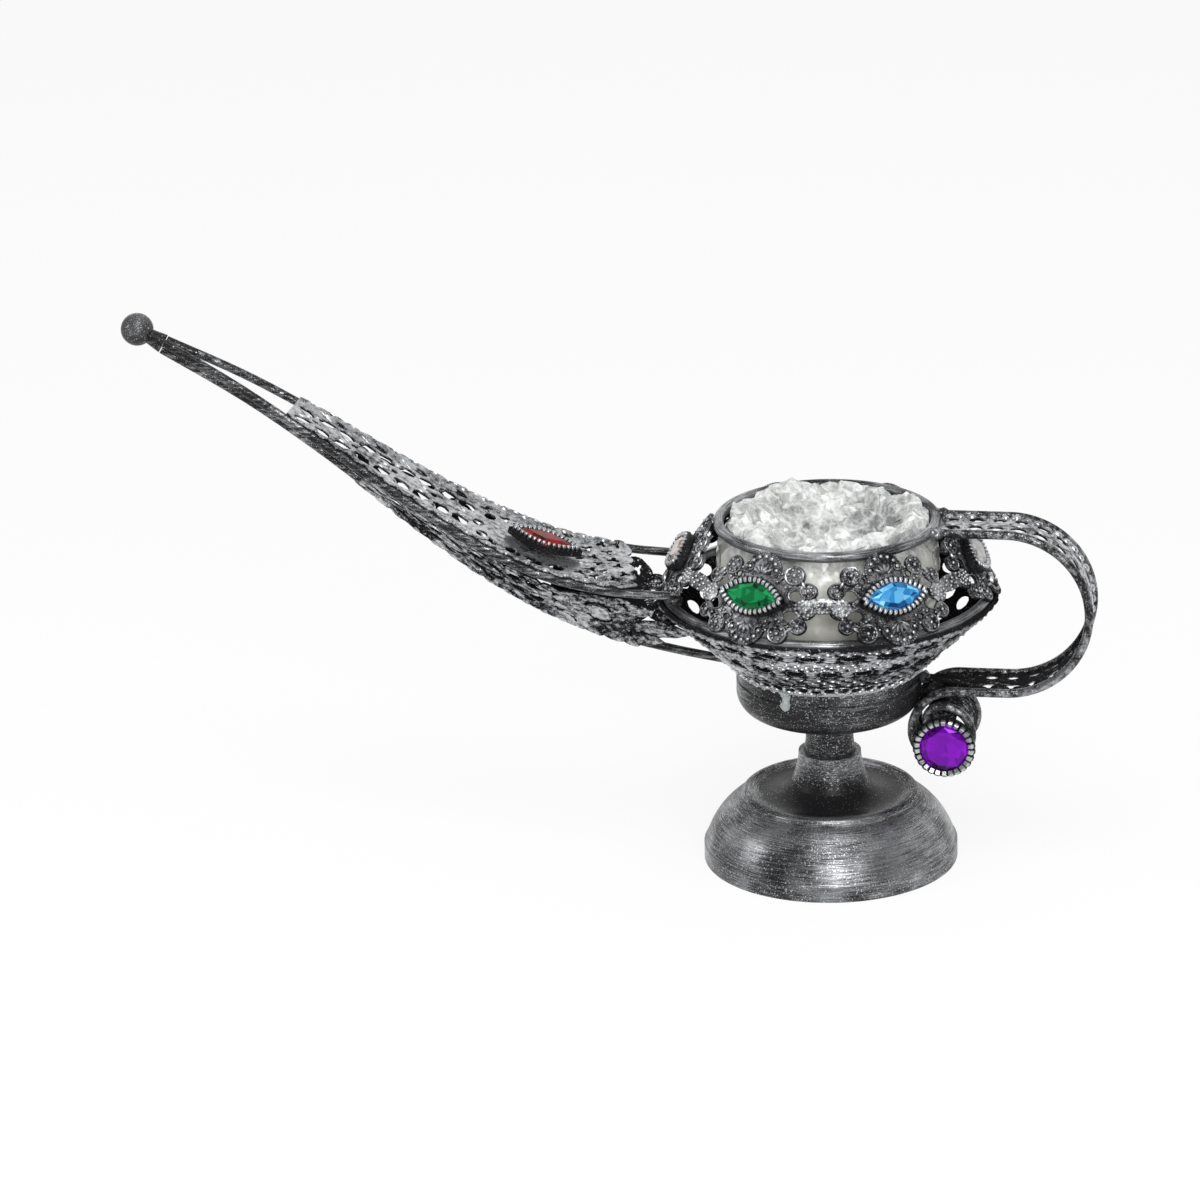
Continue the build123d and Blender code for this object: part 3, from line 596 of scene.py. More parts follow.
top_r, top_z, ring_wire = ring("top_ring")
waist_r, waist_z, _ = ring("waist_ring")
belt_up = Vector((top_r - waist_r, top_z - waist_z)).normalized()
belt_out = Vector((belt_up.y, -belt_up.x))
belt_middle = Vector(((top_r + waist_r) / 2, (top_z + waist_z) / 2))
belt_middle += belt_out * (ring_wire + SEAT_GAP + SHEET_T)
gem_places = {number: middle(f"belt_gem_{number}") for number in LINKS}
link_turns = {number: math.atan2(place.y, place.x) for number, place in gem_places.items()}
gem_rise = Vector((gem_places[1].xy.length, gem_places[1].z)) - belt_middle
belt_low = belt_middle + belt_up * gem_rise.dot(belt_up)


def belt_surface(turn):
    """The belt's cone at a bearing, for a sheet drawn on the plane that touches it there."""

    def place(u, v, h):
        reach = belt_low.x + v * belt_up.x
        lean = belt_out.y**2 / belt_out.x - belt_out.x
        drop = u * u * belt_out.x / (reach + math.sqrt(reach * reach + lean * u * u * belt_out.x))
        x = reach - drop * belt_out.x
        z = belt_low.y + v * belt_up.y - drop * belt_out.y
        radius = math.hypot(u, x) + h * belt_out.x
        angle = math.atan2(u, x) + turn
        return Vector((radius * math.cos(angle), radius * math.sin(angle), z + h * belt_out.y))

    return place


print("links at", {n: round(math.degrees(t), 1) for n, t in link_turns.items()})

# %% Belt motifs
FAN_AT = 7.64
FAN_R = 5.6
TIP_AT = 14.3
PETAL = (9.3, 8.2, 2.8)  # place and radius
WING = (14.0, 5.0, 2.3)
FAN_HOLE = (3.9, 8.35, 0.9, 0.9)  # place and half sizes
PETAL_HOLE = (6.9, 6.1, 0.8, 0.8)
EYE = (11.5, 2.9, 2.2, 1.6)
LOOSE_BEADS = ((5.3, 5.6), (6.0, 7.9), (8.0, 4.5), (9.0, 4.9), (11.6, 5.6))


def beads_round(u, v, radius, count, size, start=0.0, sweep=360.0):
    """Beads on an arc about a point."""
    steps = count if sweep == 360.0 else count - 1
    pattern = []
    for index in range(count):
        angle = math.radians(start + sweep * index / steps)
        at = (u + radius * math.cos(angle), v + radius * math.sin(angle))
        pattern.append(("bead", *at, size, size, size, 0))
    return pattern


def fan(v, radius):
    """A scalloped fan that opens upwards: a rim, a row of fat beads and diverging ribs."""
    pattern = beads_round(0, v, radius - 0.28, 26, 0.36, -8, 196)
    pattern += beads_round(0, v, 0.74 * radius, 7, 0.66, 12, 156)
    for turn in (38, 64, 90, 116, 142):
        angle = math.radians(turn)
        reach = 0.38 * radius
        at = (reach * math.cos(angle), v - 1.3 + reach * math.sin(angle))
        pattern.append(("leaf", *at, 1.5, 0.5, 0.9, turn))
    return pattern


def dotted_lobe(u, v, radius, dots, size):
    """A small dish with a thin rim, and a ring of dots round a middle one."""
    rim = ("eyelet", u, v, radius, radius, 0.55, 0)
    dot = ("bead", u, v, 1.15 * size, 1.15 * size, 0.85, 0)
    return [rim, dot] + beads_round(u, v, 0.60 * radius, dots, size)


def grains(u, v, half_u, half_v):
    """A low mound of granulation, in rings about a point."""
    pattern = [("coin", u, v, half_u, half_v, 0.35, 0), ("bead", u, v, 0.5, 0.5, 0.95, 0)]
    for share, count in ((0.42, 6), (0.84, 12)):
        for _, x, y, size, *_ in beads_round(0, 0, share, count, 0.45, 20 * share):
            at = (u + x * half_u, v + y * half_v)
            pattern.append(("bead", *at, size, size, 1.0 - 0.35 * share, 0))
    return pattern


def rimmed(u, v, half_u, half_v):
    """A raised edge round a pierced hole."""
    return ("eyelet", u, v, half_u + 0.32, half_v + 0.32, 0.5, 0)


quarter = dotted_lobe(*PETAL, 6, 0.5) + dotted_lobe(*WING, 5, 0.45)
quarter += [rimmed(*EYE), rimmed(*FAN_HOLE), rimmed(*PETAL_HOLE)]
quarter += [("bead", u, v, 0.42, 0.42, 0.62, 0) for u, v in LOOSE_BEADS]
quarter += [("leaf", 12.3, 6.4, 1.3, 0.55, 0.7, 130), ("leaf", 13.3, 1.9, 1.1, 0.5, 0.7, 60)]
half = fan(FAN_AT, FAN_R)
ends = grains(TIP_AT, 0, 2.7, 2.5)
print("presses on a link:", 4 * len(quarter) + 2 * len(half) + 2 * len(ends))

# %% Belt relief


def mirrored(pattern, across=True, along=True):
    """A pattern with its mirror images about the sheet's two centre lines."""
    whole = list(pattern)
    if along:
        whole += [(b, -u, v, a, c, h, -t) for b, u, v, a, c, h, t in whole]
    if across:
        whole += [(b, u, -v, a, c, h, -t) for b, u, v, a, c, h, t in whole]
    return whole


whole_link = mirrored(quarter) + mirrored(half, along=False) + mirrored(ends, across=False)
flat_link = pressed("flat_link", whole_link)
for number in LINKS:
    relief = twin(flat_link, f"belt_relief_{number}")
    lay(relief, belt_surface(link_turns[number]))
    finished(relief, relief_paint)
bpy.data.objects.remove(flat_link)

# %% [markdown]
# Neighbouring links are bridged by a blob of solder, grained like the stampings. It sits halfway
# between their bearings, so the uneven spacing of the links shows as blobs of uneven width.

# %% Belt joints
bearings = sorted(link_turns.values())
next_bearings = bearings[1:] + [bearings[0] + 2 * math.pi]
for index, (before, after) in enumerate(zip(bearings, next_bearings), start=1):
    spread = belt_low.x * (after - before) / 2 - TIP_AT
    blob = grains(0, -0.6, max(spread, 2.4), 2.3)
    for end in (-spread, spread):
        blob += [("coin", end, -1.4, 2.2, 2.2, 0.4, 0)] + beads_round(end, -1.4, 1.5, 8, 0.45)
    joint = pressed(f"belt_joint_{index}", blob)
    lay(joint, belt_surface((before + after) / 2))
    finished(joint, relief_paint)
print("belt joints:", len(bearings))

# %% [markdown]
# Each gem sits in a setting whose wall is cut into rounded teeth that lean over the stone. The
# wall is a drawn-up outline, pointed or round, and the tooth is a bevelled block that is copied
# round it.

# %% Setting outlines
NAVETTE_HALF = (10.65, 5.4)  # outside of a pointed setting
NAVETTE_GEM = (9.0, 4.4)
ROUND_OUTSIDE = 8.4
ROUND_GEM = 7.2
OUTLINE_STEPS = 400


def lens_point(share, half_u, half_v):
    """A point of a pointed oval, by its share of the way round."""
    angle = 2 * math.pi * share
    return Vector((half_u * math.cos(angle), half_v * math.sin(angle) * abs(math.sin(angle)), 0))


def circle_point(share, half_u, half_v):
    angle = 2 * math.pi * share
    return Vector((half_u * math.cos(angle), half_v * math.sin(angle), 0))


def lens_outline(share, margin):
    return lens_point(share, NAVETTE_HALF[0] + 1.65 * margin, NAVETTE_HALF[1] + margin)


def round_outline(share, margin):
    return circle_point(share, ROUND_OUTSIDE + margin, ROUND_OUTSIDE + margin)


def even_shares(outline, count):
    """Shares of an outline that are evenly spaced along its length."""
    points = [outline(index / OUTLINE_STEPS) for index in range(OUTLINE_STEPS + 1)]
    lengths = [0.0]
    for before, after in zip(points, points[1:]):
        lengths.append(lengths[-1] + (after - before).length)
    shares = []
    for index in range(count):
        goal = lengths[-1] * (index + 0.5) / count
        step = next(i for i, reached in enumerate(lengths) if reached >= goal)
        shares.append(step / OUTLINE_STEPS)
    return shares


print("pointed setting is", [2 * h for h in NAVETTE_HALF], "mm, the round one", 2 * ROUND_OUTSIDE)

# %% Toothed settings
SETTING_H = 2.9
WALL_TOP = 1.1  # the wall ends this far below the teeth
CUP_FLOOR = 0.5
TOOTH_LEAN = math.radians(-28)


def cup(outline, sides):
    """A shallow cup with a straight wall, in millimetres."""
    start_disc(sides)
    bpy.ops.object.mode_set(mode="OBJECT")
    for index, vertex in enumerate(bpy.context.object.data.vertices):
        vertex.co = outline(index / sides, 0.0)
    edit_all()
    wall = SETTING_H - WALL_TOP
    bpy.ops.mesh.extrude_region_move(TRANSFORM_OT_translate={"value": (0, 0, wall)})
    bpy.ops.mesh.inset(thickness=0.9)
    bpy.ops.transform.translate(value=(0, 0, CUP_FLOOR - wall))
    return leave_edit()


def setting(name, outline, sides, teeth, blank, tooth):
    """A cup whose wall carries teeth. Tooth gives their half width, half depth and half height."""
    made = cup(outline, sides)
    pick(made)

    def tooth_line(share):
        return outline(share, -tooth[1])

    for share in even_shares(tooth_line, teeth):
        along = tooth_line(share + 0.002) - tooth_line(share - 0.002)
        turn = Matrix.Rotation(math.atan2(along.y, along.x), 4, "Z")
        lean = Matrix.Rotation(TOOTH_LEAN, 4, "X")
        place = Matrix.Translation(tooth_line(share) + Vector((0, 0, SETTING_H - tooth[2])))
        bar = bpy.data.objects.new("tooth", BLANKS[blank].copy())
        bar.data.transform(place @ turn @ lean @ Matrix.Diagonal((*tooth, 1)))
        scene.collection.objects.link(bar)
        bar.select_set(True)
    bpy.ops.object.join()
    made.name = name
    store_heights(made)
    return made


navette_setting = setting("navette_setting", lens_outline, 56, 30, "tooth", (0.52, 0.80, 1.05))
round_setting = setting("round_setting", round_outline, 48, 26, "bar", (0.74, 0.8, 1.0))
setting_faces = [len(made.data.polygons) for made in (navette_setting, round_setting)]
print("pointed and round setting:", setting_faces, "faces")

# %% [markdown]
# A cut stone is the hull of a few tiers of points: girdle, crown, table. The hull comes in
# triangles, so those that lie in one plane are dissolved into whole facets, and each facet gets
# its own glint, a painted reflection that picks the facet's tone.

# %% Cut stones
LENS_TIERS = ((14, 1.0, 0.0, 0.0), (14, 1.0, 0.9, 0.0), (10, 0.80, 1.8, 0.5), (8, 0.56, 2.3, 0.0))
ROUND_TIERS = ((20, 1.0, 0.0, 0.0), (20, 1.0, 0.9, 0.0), (10, 0.86, 1.8, 0.5), (10, 0.70, 2.3, 0.0))
# The table's painted glint.
TABLE_GLINT = 0.58


def facet_glint(facet):
    """Painted reflection: the flat top has one tone, and the other facets differ from each other.
    """
    if facet.normal.z > 0.99:
        return TABLE_GLINT
    wave = math.sin(9 * facet.normal.x + 14 * facet.normal.y + 3 * facet.index)
    return (0.5 + 0.5 * wave) ** 2


def cut_gem(name, point, half_u, half_v, tiers):
    """The hull of tiers of points. Each tier is a count, a width share, a height and a twist."""
    clear_selection()
    bpy.ops.mesh.primitive_circle_add(vertices=sum(tier[0] for tier in tiers), radius=1)
    vertices = iter(bpy.context.object.data.vertices)
    for count, share, height, twist in tiers:
        for index in range(count):
            place = point((index + twist) / count, half_u * share, half_v * share)
            next(vertices).co = place + Vector((0, 0, height))
    edit_all()
    bpy.ops.mesh.delete(type="EDGE_FACE")
    bpy.ops.mesh.select_all(action="SELECT")
    bpy.ops.mesh.convex_hull()
    bpy.ops.mesh.select_all(action="SELECT")
    bpy.ops.mesh.dissolve_limited(angle_limit=math.radians(2))
    stone = leave_edit()
    stone.name = name
    glint = stone.data.attributes.new("glint", "FLOAT", "FACE")
    glint.data.foreach_set("value", [facet_glint(facet) for facet in stone.data.polygons])
    return stone


navette_gem = cut_gem("navette_gem", lens_point, *NAVETTE_GEM, LENS_TIERS)
round_gem = cut_gem("round_gem", circle_point, ROUND_GEM, ROUND_GEM, ROUND_TIERS)
print("stones:", len(navette_gem.data.polygons), "and", len(round_gem.data.polygons), "facets")

# %% Gem materials
# Each gem's colour runs from a deep to a pale tone, and the painted glints pick a tone along it.
GEM_TONES = {  # deep, bright and pale tone
    "gem_green": ((0.001, 0.020, 0.006), (0.004, 0.14, 0.04), (0.02, 0.34, 0.11)),
    "gem_blue": ((0.004, 0.04, 0.15), (0.04, 0.28, 0.62), (0.32, 0.76, 0.95)),
    "gem_pink": ((0.20, 0.13, 0.11), (0.46, 0.34, 0.31), (0.70, 0.58, 0.54)),
    "gem_clear": ((0.18, 0.18, 0.17), (0.44, 0.43, 0.42), (0.74, 0.73, 0.72)),
    "gem_red": ((0.03, 0.001, 0.002), (0.15, 0.003, 0.004), (0.34, 0.012, 0.012)),
    "gem_purple": ((0.012, 0.0005, 0.03), (0.17, 0.0008, 0.38), (0.26, 0.004, 0.60)),
}


def tone_ramp(tree, value, low, high, *between):
    """A Color Ramp. Each stop is a position and a colour."""
    node = tree.nodes.new("ShaderNodeValToRGB")
    stops = node.color_ramp.elements
    for stop, (position, colour) in zip(stops, (low, high)):
        stop.position = position
        stop.color = (*colour, 1)
    for position, colour in between:
        stops.new(position).color = (*colour, 1)
    feed(tree, node.inputs["Fac"], value)
    return node.outputs["Color"]


def gem_material(name, deep, bright, pale):
    """Foil-backed acrylic under a clear coat, with its reflections painted into the colour: each
    facet's glint and cells of noise standing for back facets seen through the table pick a deeper
    or paler tone.
    """
    material, tree, shader = new_material(name)
    # Painted reflection: a tone per cell of noise stands for back facets seen through the table.
    back_facet_glints = tree.nodes.new("ShaderNodeTexVoronoi")
    back_facet_glints.inputs["Scale"].default_value = 420.0
    feed(tree, back_facet_glints.inputs["Vector"], object_place(tree))
    patch = tree.nodes.new("ShaderNodeSeparateColor")
    feed(tree, patch.inputs["Color"], back_facet_glints.outputs["Color"])
    facet = maths(tree, "MULTIPLY", attribute(tree, "glint"), 0.6)
    tone = maths(tree, "MULTIPLY_ADD", patch.outputs["Red"], 0.4, facet)
    colour = tone_ramp(tree, tone, (0.1, deep), (1.0, pale), (0.5, bright))
    feed(tree, shader.inputs["Base Color"], colour)
    set_sockets(shader, {
        "Metallic": 0.25, "Roughness": 0.12, "Specular IOR Level": 0.2,
        "Coat Weight": 0.1, "Coat Roughness": 0.04,
    })
    return material


gem_materials = {slot: gem_material(slot, *tones) for slot, tones in GEM_TONES.items()}
print("gem colours:", list(gem_materials))

# %% Stones on the belt and the scroll
GEM_Z = 0.65  # a stone's foot above that of its setting
slot_of = {part["node"]: part["material_slot"] for part in frame["record"]["subparts"]}


def set_stone(bezel_node, gem_node, made_setting, made_gem, place):
    """Copies a setting and its stone to a place, in millimetres, instead of the plain ones."""
    for made, node, lift, material, angle in (
        (made_setting, bezel_node, 0.0, setting_paint, 40),
        (made_gem, gem_node, GEM_Z, gem_materials[slot_of[gem_node]], 1),
    ):
        piece = twin(made, node.replace("bezel", "setting").replace("_gem", "_stone"))
        piece.data.transform(Matrix.Scale(MM, 4) @ place @ Matrix.Translation((0, 0, lift)))
        finished(piece, material, angle=angle)
        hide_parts(node)


def seat(origin, along, upward):
    """A place from its origin, the direction of the stone's long axis and the way that it faces."""
    across = upward.cross(along)
    return Matrix.Translation(origin) @ Matrix((along, across, upward)).transposed().to_4x4()


for number in LINKS:
    cos, sin = math.cos(link_turns[number]), math.sin(link_turns[number])
    outward = Vector((belt_out.x * cos, belt_out.x * sin, belt_out.y))
    foot = Vector((belt_low.x * cos, belt_low.x * sin, belt_low.y)) + outward * SEAT_GAP
    place = seat(foot, Vector((-sin, cos, 0)), outward)
    set_stone(f"belt_bezel_{number}", f"belt_gem_{number}", navette_setting, navette_gem, place)

low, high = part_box("scroll_bezel")
scroll_foot = Vector((low.x + high.x, 2 * high.y, low.z + high.z)) / 2 / MM
facing = seat(scroll_foot, Vector((1, 0, 0)), Vector((0, -1, 0)))
set_stone("scroll_bezel", "scroll_gem", round_setting, round_gem, facing)
print("stones set:", len(LINKS) + 1)

# %% [markdown]
# The spout is three wires with pierced sheets between them. Their relief has to follow the wires,
# so the wires' own meshes are cut at a row of stations, and the sheet's middle, width and slope
# come from those sections.

# %% Spout stations
STATION_STEP = 3.0
FIRST_STATION = 2.5  # from the wires' ends at the bowl


def section(node, x):
    """The centre of a spout wire where it passes a given X, in millimetres."""
    mesh = nodes[node].data
    points = []
    for edge in mesh.edges:
        first, last = (mesh.vertices[index].co / MM for index in edge.vertices)
        if (first.x - x) * (last.x - x) < 0:
            points.append(first.lerp(last, (x - first.x) / (last.x - first.x)))
    low = Vector(min(point[axis] for point in points) for axis in range(3))
    high = Vector(max(point[axis] for point in points) for axis in range(3))
    return (low + high) / 2


spout_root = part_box("spout_wire_front")[1].x / MM
spout_length = spout_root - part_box("spout_wire_bottom")[0].x / MM
station_count = int((spout_length - 1) / STATION_STEP)
station_x = [spout_root - FIRST_STATION - STATION_STEP * index for index in range(station_count)]
upper_line = [section("spout_wire_front", x) for x in station_x]
lower_line = [section("spout_wire_bottom", x) for x in station_x]


def on_line(line, x):
    """A point of a measured wire at a given X, and the wire's direction there."""
    share = min((station_x[0] - x) / STATION_STEP, len(line) - 1.001)
    index = max(int(share), 0)
    slope = (line[index + 1] - line[index]).normalized()
    return line[index].lerp(line[index + 1], share - index), slope


print("spout stations:", len(station_x), "over", round(spout_length, 1), "mm")

# %% Spout surfaces
PANEL_LIFT = 0.5  # middle of a sheet above the wires' centres
EDGE_LIFT = 0.95  # its edges ride up over the wires by this much
WIRE_R = 1.2


def edge_lift(v, half):
    """How far a sheet has risen to pass over a wire at its edge."""
    return EDGE_LIFT * min(max((v / half - 0.78) / 0.2, 0.0), 1.0)


def upright(slope):
    """A wire's direction without its sideways part, and the way up from it."""
    level = Vector((slope.x, 0, slope.z)).normalized()
    return level, Vector((level.z, 0, -level.x))


def top_half(u):
    return -on_line(upper_line, spout_root - u)[0].y - 0.4 * WIRE_R


def top_surface(u, v, h):
    """The top sheet: u runs out from the bowl and v runs across, towards the back."""
    point, slope = on_line(upper_line, spout_root - u)
    lift = PANEL_LIFT + edge_lift(abs(v), top_half(u)) + h
    return Vector((point.x, v, point.z)) + upright(slope)[1] * lift


def side_wires(u):
    return [on_line(line, spout_root - u)[0] for line in (upper_line, lower_line)]


def side_half(u):
    upper, lower = side_wires(u)
    return (upper - lower).length / 2 - 0.4 * WIRE_R


def side_surface(u, v, h):
    """The front sheet: u runs out from the bowl and v runs from the lower wire to the upper one."""
    upper, lower = side_wires(u)
    rise = (upper - lower).normalized()
    lift = PANEL_LIFT + edge_lift(-v, side_half(u)) + h
    return (upper + lower) / 2 + rise * v + Vector((0, -rise.z, rise.y)) * lift


print("half width of the top sheet:", [round(top_half(u), 1) for u in (20, 60, 100)])

# %% [markdown]
# The sheets between the wires are pierced: flat leaves and flowers that are left standing between
# rows of holes. A filled curve is the quick way to make one. Its first loop is the scalloped
# outline, every further loop becomes a hole, and turned into a mesh it can be bent to the spout
# like any relief.

# %% Hole shapes


def loop(u, v, half_u, half_v, turn=0.0, pointed=True, sides=10):
    """A closed row of points: a pointed leaf or an oval, turned about its middle by degrees."""
    spin = math.radians(turn)
    points = []
    for index in range(sides):
        angle = 2 * math.pi * index / sides
        x = half_u * math.cos(angle)
        y = half_v * math.sin(angle) * (abs(math.sin(angle)) if pointed else 1)
        points.append((
            u + x * math.cos(spin) - y * math.sin(spin),
            v + x * math.sin(spin) + y * math.cos(spin),
        ))
    return points


def trefoil(u, v, half_u, half_v, turn):
    """A three-lobed hole, turned by an angle in radians."""
    points = []
    for index in range(15):
        angle = 2 * math.pi * index / 15
        reach = 0.72 + 0.36 * math.cos(3 * angle)
        x, y = reach * math.cos(angle + turn), reach * math.sin(angle + turn)
        points.append((u + half_u * x, v + half_v * y))
    return points


def curved_hole(u, v, inner, outer, start, stop):
    """Part of an oval ring, whose inner and outer half axes are given."""
    points = []
    for (half_u, half_v), angles in ((outer, (start, stop)), (inner, (stop, start))):
        for step in range(8):
            angle = math.radians(angles[0] + (angles[1] - angles[0]) * step / 7)
            points.append((u + half_u * math.cos(angle), v + half_v * math.sin(angle)))
    return points


print("a leaf-shaped hole has", len(loop(0, 0, 2, 1)), "points")

# %% Sheet edges


def lobed(start, stop, reach, pitch, depth, seed):
    """One edge of a strip, cut into lobes of uneven width, as points from start to stop."""
    cut = random.Random(seed)
    ends = [start]
    while ends[-1] < stop - 0.7 * pitch:
        ends.append(ends[-1] + pitch * cut.uniform(0.7, 1.3))
    points = []
    for left, right in zip(ends, ends[1:]):
        deep = depth * cut.uniform(0.6, 1.2)
        for step in range(6):
            u = min(left + (right - left) * step / 6, stop)
            points.append((u, reach(u) - deep * (1 - math.sin(math.pi * step / 6) ** 0.7)))
    starts = [None] + points
    return [point for point, before in zip(points, starts) if not before or point[0] > before[0]]


def root_edge(start, stop, lobes, depth):
    """The lobed end of a sheet at the bowl, between the first points of its two long edges."""
    steps = 6 * lobes
    points = []
    for step in range(1, steps):
        share = step / steps
        u, v = (first + share * (last - first) for first, last in zip(start, stop))
        points.append((u - depth * abs(math.sin(lobes * math.pi * share)), v))
    return points


def flipped(edge):
    return [(u, -v) for u, v in edge]


print("edges ready")

# %% Cutting a sheet
SHEET_HALF_T = 0.35
BEND_STEP = 2.4  # a sheet is cut across this often, so that it can bend
HOLE_MARGIN = 1.2  # holes keep clear of each other by this much of their size


def inside(point, outline):
    """Whether a point of the flat sheet lies within a closed row of points."""
    u, v = point
    within = False
    for (u1, v1), (u2, v2) in zip(outline, outline[1:] + outline[:1]):
        if (v1 > v) != (v2 > v) and u < u1 + (u2 - u1) * (v - v1) / (v2 - v1):
            within = not within
    return within


def cuttable(holes, outline):
    """The holes that keep clear of the outline and each other, as crossing loops spoil the fill."""
    kept = []
    for hole in holes:
        mid_u, mid_v = (sum(values) / len(hole) for values in zip(*hole))
        grown = [
            (mid_u + HOLE_MARGIN * (u - mid_u), mid_v + HOLE_MARGIN * (v - mid_v)) for u, v in hole
        ]
        clear = all(inside(point, outline) for point in grown)
        tests = grown + [(mid_u, mid_v)]
        if clear and not any(inside(point, other) for other in kept for point in tests):
            kept.append(hole)
    return kept


def pierced(name, outline, holes):
    """A flat sheet, in millimetres, from its outline and the loops of its holes."""
    curve = bpy.data.curves.new(name, "CURVE")
    curve.dimensions = "2D"
    curve.fill_mode = "BOTH"
    curve.extrude = SHEET_HALF_T
    for points in (outline, *cuttable(holes, outline)):
        spline = curve.splines.new("POLY")
        spline.points.add(len(points) - 1)
        for target, (u, v) in zip(spline.points, points):
            target.co = (u, v, 0, 1)
        spline.use_cyclic_u = True
    sheet = bpy.data.objects.new(name, curve)
    scene.collection.objects.link(sheet)
    pick(sheet)
    bpy.ops.object.convert(target="MESH")
    edit_all()
    bpy.ops.mesh.remove_doubles(threshold=0.01)
    bpy.ops.mesh.normals_make_consistent(inside=False)
    start, stop = min(u for u, v in outline), max(u for u, v in outline)
    for cut in range(1, int((stop - start) / BEND_STEP)):
        bpy.ops.mesh.select_all(action="SELECT")
        bpy.ops.mesh.bisect(plane_co=(start + BEND_STEP * cut, 0, 0), plane_no=(1, 0, 0))
    bpy.ops.object.mode_set(mode="OBJECT")
    return bpy.context.object


def joined(name, *pieces):
    """Several pieces as one object."""
    pick(pieces[0])
    for piece in pieces:
        piece.select_set(True)
    bpy.ops.object.join()
    pieces[0].name = name
    return pieces[0]


print("a sheet is", 2 * SHEET_HALF_T, "mm thick and bends every", BEND_STEP)

# %% Openwork motifs
CELL = 10.8


def chain_holes(u, v, half):
    """The holes of one repeat of a narrow sheet, round a leaf on its middle line."""
    lean = math.degrees(math.atan2(0.27 * half, 4.0))
    holes = [loop(u + CELL / 2, v, 0.9, 0.10 * half, pointed=False)]
    for s in (-1, 1):
        for t in (-1, 1):
            holes.append(loop(u + 2.7 * t, v + 0.43 * s * half, 2.6, 0.22 * half, -s * t * lean))
        holes.append(loop(u, v + 0.80 * s * half, 2.1, 0.10 * half))
        holes.append(loop(u + CELL / 2, v + 0.62 * s * half, 1.5, 0.17 * half, pointed=False))
    return holes


def chain_relief(u, v, half):
    """The raised veins of one repeat."""
    pattern = [("leaf", u, v, 4.4, 0.11 * half, 0.62, 0)]
    for s in (-1, 1):
        pattern.append(("eyelet", u + CELL / 2, v + 0.62 * s * half, 2.0, 0.23 * half, 0.6, 0))
        pattern.append(("blade", u + 2.7, v + 0.80 * s * half, 1.7, 0.10 * half, 0.6, 0))
        pattern.append(("blade", u - 2.7, v + 0.15 * s * half, 1.5, 0.10 * half, 0.6, 30 * s))
    return pattern


def spokes(u, v, reach_u, reach_v, count, turn):
    """Places round a middle, each with the direction outwards in degrees."""
    places = []
    for index in range(count):
        angle = math.radians(turn + 360 * index / count)
        at = (u + reach_u * math.cos(angle), v + reach_v * math.sin(angle))
        places.append((at, math.degrees(angle)))
    return places


print("a repeat has", len(chain_holes(0, 0, 10)), "holes and", len(chain_relief(0, 0, 10)), "veins")

# %% Top sheet of the spout
GEM_AT = 41.0
OVER = 1.1  # the sheets reach this far past their own half width, over the wires
TOP_FRONT, TOP_BACK, TOP_END = 11.0, 18.0, 108.0  # where its two edges start, and where they end
ROW_STEP = 4.7
WIDE_HOLES = ((33, -9.6, 20), (39, -10.6, -15), (45, -9.8, 10))  # place and turn, along the front
TALL_HOLES = ((54.0, -7.5), (56.0, -1.5), (54.0, 6.0), (28.6, 2.0))
snip = random.Random(4)


def over_top(u):
    return top_half(u) + OVER


def beside_gem(u, v):
    return abs(u - GEM_AT) < 11.0 and abs(v) < 6.2


holes = [loop(u, v, 2.3, 2.0, turn, pointed=False) for u, v, turn in WIDE_HOLES]
holes += [loop(u, v, 1.5, 2.2, 15, pointed=False) for u, v in TALL_HOLES]
relief = []
for column in range(10):
    for row in range(-3, 4):
        u = 13.0 + ROW_STEP * (column + 0.5 * (row % 2)) + snip.uniform(-0.7, 0.7)
        v = ROW_STEP * row + snip.uniform(-0.7, 0.7)
        if beside_gem(u, v) or u > 57:
            continue
        half_u, half_v = snip.uniform(1.5, 2.1), snip.uniform(1.6, 2.3)
        holes.append(trefoil(u, v, half_u, half_v, snip.uniform(0, 6.3)))
        if snip.random() < 0.4 and u > 20:
            relief.append(("eyelet", u, v, 2.5, 2.6, 0.6, 0))
for index in range(5):
    u = 63.0 + CELL * index
    holes += chain_holes(u, 0, top_half(u))
    relief += chain_relief(u, 0, top_half(u))
for s in (-1, 1):
    for index in range(17):
        u = 16.0 + 5.5 * index
        if u > 20 or s < 0:
            relief.append(("eyelet", u, 0.93 * s * top_half(u), 1.7, 1.4, 0.7, 0))
            relief.append(("bead", u + 2.7, 0.97 * s * top_half(u), 1.2, 1.1, 0.85, 0))
print("top sheet:", len(holes), "holes and", len(relief), "presses drawn")

# %% Top sheet cut and laid


def within(pattern, end, reach=None):
    """The presses that end before the sheet does, and within its reach to the sides."""
    return [
        press for press in pattern
        if press[1] + press[3] < end and (not reach or abs(press[2]) + press[4] < reach(press[1]))
    ]


def veined(name, outline, holes, pattern, surface):
    """A pierced sheet with its relief, laid on its surface."""
    sheet = pierced(name, outline, holes)
    sheet = joined(name, sheet, pressed(name + "_veins", pattern))
    lay(sheet, surface)
    return sheet


front_edge = flipped(lobed(TOP_FRONT, TOP_END, over_top, 5.0, 1.5, 5))
back_edge = lobed(TOP_BACK, TOP_END, over_top, 5.0, 1.5, 8)
outline = front_edge + back_edge[::-1] + root_edge(back_edge[0], front_edge[0], 5, 1.7)
relief = within(relief, min(front_edge[-1][0], back_edge[-1][0]), over_top)
top_sheet = veined("spout_top_sheet", outline, holes, relief, top_surface)
top_sheet.data.flip_normals()  # u runs towards -X, which turned its faces inwards
finished(top_sheet, sheet_paint)
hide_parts("spout_top_panel")
print("top sheet:", len(top_sheet.data.polygons), "faces")

